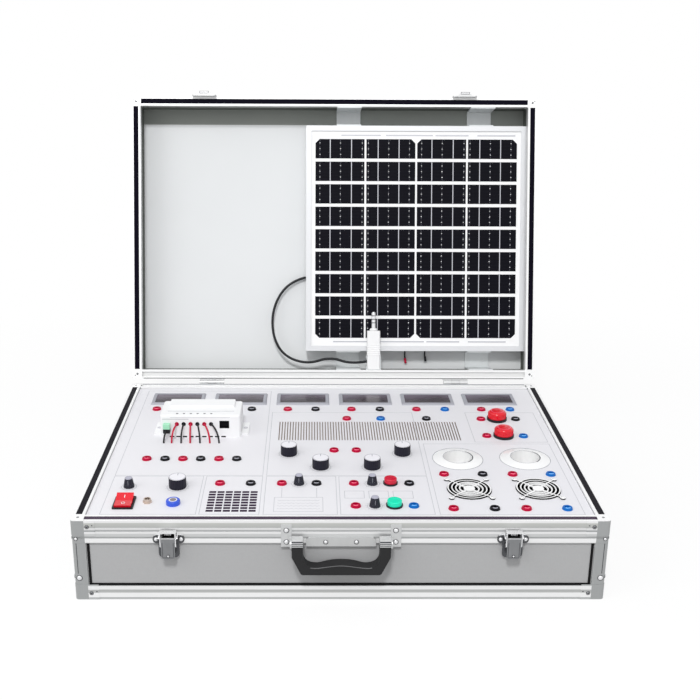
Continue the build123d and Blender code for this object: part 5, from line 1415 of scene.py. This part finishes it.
@dataclass
class SolarPanel:
    """The solar panel in the lid, with its ribbons, cable and stowed plug."""

    centre_x: float = 129.0
    low: float = 43.0
    length: float = 354.0
    front: float = 18.9
    columns: int = 4
    rows: int = 9
    cell_w: float = 77.0
    cell_h: float = 30.3
    gap_x: float = 3.0
    gap_y: float = 5.0
    plug_x: float = 62.5
    plug_low: float = 15.4
    plug_l: float = 60.0
    plug_depth: float = 9.0
    lines_even: tuple[tuple[float, ...], ...] = ((0.09, 0.51, 0.955), (0.30, 0.735))
    lines_odd: tuple[tuple[float, ...], ...] = ((0.04, 0.456, 0.88), (0.24, 0.667))
    dashes: int = 6
    dots: tuple[float, ...] = (-9.0, 0.0, 9.0)
    links: tuple[tuple[float, float], ...] = ((-118.0, 62.0), (-48.0, 74.0), (30.0, 52.0), (96.0, 60.0))
    link_shift: float = 12.0
    route: tuple[Point, ...] = (
        (30.0, 165.0, -41.0), (-28.0, 165.0, -41.0), (-74.0, 150.0, -37.0), (-97.0, 112.0, -33.0),
        (-98.0, 68.0, -31.0), (-80.0, 34.0, -29.0), (-42.0, 21.0, -27.0), (-5.0, 33.0, -25.0),
        (27.0, 22.0, -17.0), (52.25, 27.0, -9.0),
    )
    cable_r: float = 2.0
    pin_rings: tuple[float, ...] = (12.0, 17.5, 23.0)
    grip_ribs: int = 6
    grip_low: float = -38.0
    grip_pitch: float = 3.2
    spares: tuple[tuple[str, float, float], ...] = (("left", 114.0, 24.0), ("right", 146.0, 27.0))
    spare_r: float = 1.3
    tip_z: float = -41.0
    brackets: tuple[float, float] = (23.0, 231.0)
    bracket_steps: tuple[float, ...] = (-9.0, 0.0, 9.0)

    def dress(self) -> None:
        """Finish the CAD nodes of the solar panel and its fittings."""
        dress("solar_frame", ALUMINIUM_PV)
        dress("solar_laminate", BACKING)
        dress("solar_cells", SILICON)
        dress("junction_box", BLACK)
        dress("lid_brackets", BRACKET)
        dress("lid_strikes", SATIN)
        dress("cable_plug", WHITE, BRIGHT, choose=self.plug_part)

    def plug_part(self, centre: Vector, _: Vector) -> int:
        """Index for a face of the plug: 1 on its pin, which is the part beyond the body."""
        local = LID.inverted() @ (centre * MM)
        return int(local.y + CASE_D / 2 > self.plug_low + self.plug_l + 0.1)

    def middle(self) -> float:
        """The panel's centre up the lid, from the lid's centre."""
        return self.low + self.length / 2 - CASE_D / 2

    def ribbons(self) -> None:
        """Silver busbars, dashed solder lines and the ribbons above and below the cells."""
        piece = Workpiece("cell_ribbons", BUSBAR, BRIGHT, SOLDER)
        pitch_x, pitch_y = self.cell_w + self.gap_x, self.cell_h + self.gap_y
        bar = box_form((1.3, self.cell_h - 0.6, 0.12))
        dash = box_form((0.7, 2.6, 0.1))
        dot = ring_form(0.8, 0.2, 0.12, 8)
        z = -self.front + 0.42
        for column in range(self.columns):
            left = self.centre_x + (column - (self.columns - 1) / 2) * pitch_x - self.cell_w / 2
            dotted, solid = self.lines_even if column % 2 == 0 else self.lines_odd
            for row in range(self.rows):
                y = self.middle() + (row - (self.rows - 1) / 2) * pitch_y
                for share in solid:
                    piece.add(bar, at(left + share * self.cell_w, y, z))
                for share in dotted:
                    x = left + share * self.cell_w
                    for step in range(self.dashes):
                        rise = (step - (self.dashes - 1) / 2) * self.cell_h / self.dashes
                        piece.add(dash, at(x, y + rise, z), 2)
                    for rise in self.dots:
                        piece.add(dot, at(x, y + rise, z + 0.02), 1)
        block_h = self.rows * pitch_y - self.gap_y
        for end in (-1, 1):
            y = self.middle() + end * (block_h / 2 + 6.0)
            for start, length in self.links:
                x = self.centre_x + start + length / 2 - (self.link_shift if end < 0 else 0.0)
                piece.add(box_form((length, 1.6, 0.1)), at(x, y, z))
        piece.ride("lid", LID)

    def cable(self) -> None:
        """The black cable from behind the panel round to the stowed plug."""
        points = [(x, y - CASE_D / 2, z) for x, y, z in self.route]
        piece = wire_piece("solar_cable_smooth", points, self.cable_r, BLACK_WIRE, "lid", LID)
        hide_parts("solar_cable")

    def plug_trim(self) -> None:
        """Dark insulating rings on the plug's pin and grip ribs on its body."""
        piece = Workpiece("plug_trim", BLACK, WHITE)
        ring = ring_form(3.3, 3.0, 1.1, 20)
        start = self.plug_low + self.plug_l - CASE_D / 2
        for along in self.pin_rings:
            piece.add(ring, at(self.plug_x, start + along, -self.plug_depth, -90.0, "X"))
        rib = box_form((21.3, 1.4, 13.8), 0.5)
        for index in range(self.grip_ribs):
            y = start + self.grip_low + index * self.grip_pitch
            piece.add(rib, at(self.plug_x, y, -self.plug_depth), 1)
        collar = turned_form([(0.0, 0.0), (6.2, 0.0), (6.2, 2.5), (4.2, 4.0), (0.0, 4.0)], 24)
        piece.add(collar, at(self.plug_x, start, -self.plug_depth, -90.0, "X"), 1)
        piece.ride("lid", LID)

    def loose_ends(self) -> None:
        """Two spare wire ends from behind the solar panel, one in a red sleeve, one in a connector."""
        tips = Workpiece("spare_wire_tips", RED_WIRE, BLACK)
        tip = turned_form([(0.0, -1.0), (1.7, -1.0), (1.9, 0.0), (1.9, 6.5), (1.4, 7.5), (0.0, 7.5)], 16)
        lean = Matrix.Rotation(math.radians(8.0), 4, "Z") @ at(0, 0, 0, -80.0, "X")
        for index, (name, x, end) in enumerate(self.spares):
            tip_x = x + 2.0
            bends = ((x - 6.0, 50.0, -34.0), (x + 1.0, 44.0, -36.0), (x, 34.0, -39.0))
            points = [(px, py - CASE_D / 2, pz) for px, py, pz in (*bends, (tip_x, end, self.tip_z))]
            wire_piece(f"spare_{name}_end", points, self.spare_r, BLACK_WIRE, "lid", LID)
            tips.add(tip, at(tip_x, end - CASE_D / 2 - 1.0, self.tip_z) @ lean, index)
        tips.ride("lid", LID)

    def bracket_screws(self) -> None:
        """Three dark screws in the upper leg of each bracket."""
        piece = Workpiece("bracket_screws", DARK_NICKEL)
        for x in self.brackets:
            for step in self.bracket_steps:
                piece.add(dome_form(1.4, 0.6), at(x + step, CASE_D / 2 - 12.6, -5.0, 90.0, "X"))
        piece.ride("lid", LID)

    def build(self) -> None:
        """Dress and detail the solar panel."""
        self.dress()
        self.ribbons()
        self.cable()
        self.plug_trim()
        self.loose_ends()
        self.bracket_screws()


@dataclass
class Hardware:
    """The carry handle and the two latches."""

    face: float = -219.0
    latch_x: float = 201.5
    ear_z: float = 86.0
    mount_x: float = 57.0
    ear_x: float = 63.9
    ear_rivets: tuple[float, float] = (93.5, 78.4)
    plate_t: float = 1.2
    plate_rivet: float = 14.6
    plate_rivet_z: float = 81.5
    mount_t: float = 2.0
    bridge_x: float = 18.0
    bridge_z: float = 78.2
    coils: int = 5
    coil_pitch: float = 1.6
    coil_z: float = 90.2
    window: Point = (13.6, 0.4, 5.6)
    lever_out: float = 9.55
    lever_edge: float = 6.4
    sleeve_ribs: tuple[tuple[float, float], ...] = ((80.4, 15.2), (82.6, 15.2), (84.8, 15.2), (86.7, 13.0))
    top_ribs: tuple[float, ...] = (-4.0, 0.0, 4.0)
    leg_x: float = 51.15
    handle_out: float = 10.0
    handle_front: float = 17.0
    highlight_r: float = 0.55
    ridge: tuple[tuple[float, float], ...] = (
        (-36.0, 52.6), (-31.0, 51.3), (-16.0, 53.8), (0.0, 55.9), (16.0, 53.8), (31.0, 51.3), (36.0, 52.6),
    )

    def dress(self) -> None:
        """Finish the CAD nodes of the hardware."""
        dress("carry_handle", HANDLE)
        dress("handle_mounts", MOUNT, SATIN, choose=lambda centre, _: int(abs(centre.x) > self.mount_x))
        # The plate below the ears, mostly hidden behind the lever, takes dark nickel as painted shade; the
        # ears stay bright.
        dress("latch_plates", DARK_NICKEL, BRIGHT, choose=lambda centre, _: int(centre.z > self.ear_z))
        for side in Side:
            name = side.name.lower()
            dress(f"latch_{name}_lever", NICKEL)
            dress(f"latch_{name}_claw", BRIGHT)

    def rivet(self, piece: Workpiece, place: Matrix, radius: float, height: float) -> None:
        """A bright domed rivet with a ring of painted shade round its foot.

        Args:
            piece: The workpiece with a bright finish first and a dark one, for the painted shade, second.
            place: The rivet's foot.
            radius: Its radius.
            height: Its height.
        """
        piece.add(dome_form(radius, height, 24), place)
        piece.add(ring_form(radius + 0.55, radius - 0.5, 0.35, 24), place, 1)

    def latch_trim(self, side: Side) -> None:
        """A coil spring in a claw's window over a dark box of painted shade, and the lever's rivet, its lines
        of painted shadow and its strip of painted highlight.

        Args:
            side: The latch's side.
        """
        x, name = side.value * self.latch_x, side.name.lower()
        spring = Workpiece(f"latch_{name}_spring", BRIGHT, BLACK_AND_SHADE)
        coil = ring_form(2.2, 1.3, 0.8, 12)
        first = x - self.coil_pitch * (self.coils - 1) / 2 - 0.4
        for index in range(self.coils):
            spring.add(coil, at(first + index * self.coil_pitch, self.face - 4.6, self.coil_z, 90.0, "Y"))
        # A dark box behind the spring: painted shade in the claw's window.
        spring.add(box_form(self.window, 0.1), at(x, self.face - 3.0, self.coil_z - 0.6), 1)
        spring.ride(f"latch_{name}_claw")
        trim = Workpiece(f"latch_{name}_lever_trim", BRIGHT, DARK_NICKEL)
        front = self.face - self.lever_out
        self.rivet(trim, at(x, front, 63.6, 90.0, "X"), 1.3, 0.7)
        # Dark lines down the lever's sides and along its foot: painted shadow.
        for edge in (-self.lever_edge, self.lever_edge):
            trim.add(box_form((0.7, 0.15, 19.0)), at(x + edge, front, 72.0), 1)
        trim.add(box_form((13.0, 0.15, 0.6)), at(x, front, 61.6), 1)
        # A bright bar along the lever's top: painted highlight.
        trim.add(box_form((15.0, 0.3, 0.9), 0.1), at(x, front + 0.1, 86.6))
        trim.ride(f"latch_{name}_lever")

    def heads(self) -> None:
        """Rivets of the latch plates, the handle's mounts and its bridge."""
        piece = Workpiece("latch_and_handle_rivets", BRIGHT, DARK_NICKEL)
        plate, bridge = self.face - self.plate_t, self.face - self.mount_t
        for side in (-1, 1):
            for step in (-self.plate_rivet, self.plate_rivet):
                place = at(side * self.latch_x + step, plate, self.plate_rivet_z, 90.0, "X")
                self.rivet(piece, place, 2.5, 1.9)
            for z in self.ear_rivets:
                self.rivet(piece, at(side * self.ear_x, bridge, z, 90.0, "X"), 2.8, 1.8)
            self.rivet(piece, at(side * self.bridge_x, bridge, self.bridge_z, 90.0, "X"), 2.4, 1.5)
        piece.ride("base")

    def sleeves(self) -> None:
        """Ribbed metal sleeves over the tops of the handle's legs, and a line of painted highlight along the
        grip's upper edge.
        """
        piece = Workpiece("handle_leg_sleeves", SATIN, DARK_NICKEL)
        middle = self.face - self.handle_out
        for side in (-1, 1):
            x = side * self.leg_x
            piece.add(box_form((13.2, 14.6, 7.4), 0.6), at(x, middle, 83.2), 1)
            for z, deep in self.sleeve_ribs:
                piece.add(box_form((13.4, deep, 1.3), 0.5), at(x, middle, z))
            for step in self.top_ribs:
                piece.add(box_form((13.4, 2.2, 1.0), 0.4), at(x, middle + step, 87.2))
        piece.ride("handle")
        front = self.face - self.handle_front
        points = [(x, front + 0.1, z) for x, z in self.ridge]
        wire_piece("handle_ridge", points, self.highlight_r, HANDLE_HIGHLIGHT, "handle")

    def build(self) -> None:
        """Dress and detail the hardware."""
        self.dress()
        for side in Side:
            self.latch_trim(side)
        self.heads()
        self.sleeves()


@dataclass
class Studio:
    """Pale floor and backdrop, soft light and the photograph's camera."""

    lens: float = 53.2
    shift: tuple[float, float] = (0.04, -0.0205)
    eye: Point = (-34.8, -1290.4, 692.2)
    pitch: float = 18.576
    yaw: float = -0.597
    roll: float = 0.311
    floor_shade: float = 0.42
    near_share: float = 0.8
    fade_from: float = 0.42
    fade_over: float = 0.7
    white: Colour = (1.0, 1.0, 1.0)
    sky: Colour = (0.985, 0.99, 1.0)
    sky_power: float = 0.62
    far: float = 50.0
    floor_size: float = 6000.0
    lamps: tuple[tuple[str, Point, Point, float, float], ...] = (
        ("key_lamp", (-0.3, -2.2, 3.0), (0.0, 0.0, 0.15), 0.5, 66.0),
        ("fill_lamp", (-2.4, -1.6, 2.2), (0.0, 0.0, 0.2), 1.8, 18.0),
    )

    def camera(self) -> None:
        """Stand the camera where the photograph was taken from."""
        data = bpy.data.cameras.new("camera")
        data.lens = self.lens
        data.shift_x, data.shift_y = self.shift
        data.clip_end = self.far
        item = stand("camera", data)
        turn = (
            Matrix.Rotation(math.radians(self.yaw), 4, "Z")
            @ Matrix.Rotation(math.radians(90.0 - self.pitch), 4, "X")
            @ Matrix.Rotation(math.radians(self.roll), 4, "Z")
        )
        item.matrix_world = Matrix.Translation(Vector(self.eye) * MM) @ turn
        bpy.context.scene.camera = item

    def seen(self, desk: Desk) -> Field:
        """One for rays from the camera and for those that metal or glass sends on."""
        path = desk.add("ShaderNodeLightPath")
        rays = [path.output(f"Is {kind} Ray") for kind in ("Camera", "Glossy", "Transmission")]
        return (rays[0] + rays[1] + rays[2]).clipped()

    def floor_material(self) -> bpy.types.Material:
        """A matt floor that looks white, takes the object's shadow and fades to plain white further out.

        Returns:
            The material.
        """
        desk = Desk(bpy.data.materials.new("studio_white"))
        seen = self.seen(desk)
        reach = desk.add("ShaderNodeVectorMath", {0: desk.place()}, operation="LENGTH").output("Value")
        fade = ((reach - self.fade_from) / self.fade_over).clipped()
        share = seen * (self.near_share + fade * (1.0 - self.near_share))
        shade = desk.mix(seen, (self.floor_shade,) * 3, (0.95, 0.95, 0.95))
        matt = desk.add("ShaderNodeBsdfDiffuse", {"Color": shade})
        glow = desk.add("ShaderNodeEmission", {"Color": self.white, "Strength": 1.0})
        mixed = desk.add("ShaderNodeMixShader", {0: share, 1: matt, 2: glow})
        desk.add("ShaderNodeOutputMaterial", {0: mixed})
        return desk.owner

    def floor(self) -> None:
        """A pale floor that runs on to the backdrop."""
        form = bmesh.new()
        bmesh.ops.create_grid(form, x_segments=1, y_segments=1, size=self.floor_size)
        data = bpy.data.meshes.new("studio_floor")
        form.to_mesh(data)
        form.free()
        data.transform(BENCH)
        data.materials.append(self.floor_material())
        item = stand("studio_floor", data)

    def world(self) -> None:
        """Plain surroundings that light the object softly, and look white to the camera and in metal."""
        world = bpy.data.worlds.new("studio")
        bpy.context.scene.world = world
        desk = Desk(world)
        soft = desk.add("ShaderNodeBackground", {0: self.sky, 1: self.sky_power})
        white = desk.add("ShaderNodeBackground", {0: self.white, 1: 1.0})
        mixed = desk.add("ShaderNodeMixShader", {0: self.seen(desk), 1: soft, 2: white})
        desk.add("ShaderNodeOutputWorld", {0: mixed})

    def lamp(self, name: str, place: Point, aim: Point, size: float, power: float) -> None:
        """A square soft lamp.

        Args:
            name: Its name.
            place: Where it hangs, in metres.
            aim: The point that it faces.
            size: Its side in metres.
            power: Watts.
        """
        data = bpy.data.lights.new(name, "AREA")
        data.energy = power
        data.size = size
        item = stand(name, data)
        away = Vector(place) - Vector(aim)
        item.matrix_world = Matrix.Translation(place) @ away.to_track_quat("Z", "Y").to_matrix().to_4x4()

    def build(self) -> None:
        """Set up the studio."""
        scene = bpy.context.scene
        scene.view_settings.view_transform = "Standard"
        self.camera()
        self.floor()
        self.world()
        for name, place, aim, size, power in self.lamps:
            self.lamp(name, place, aim, size, power)


def main() -> None:
    """Build the studio and every sub-assembly."""
    logging.basicConfig(level=logging.INFO, format="%(message)s")
    Studio().build()
    for part in (Case(), Instruments(), ChargeController(), SolarPanel(), Hardware()):
        part.build()
        LOG.info("%s done", type(part).__name__)


if __name__ == "__main__":
    main()
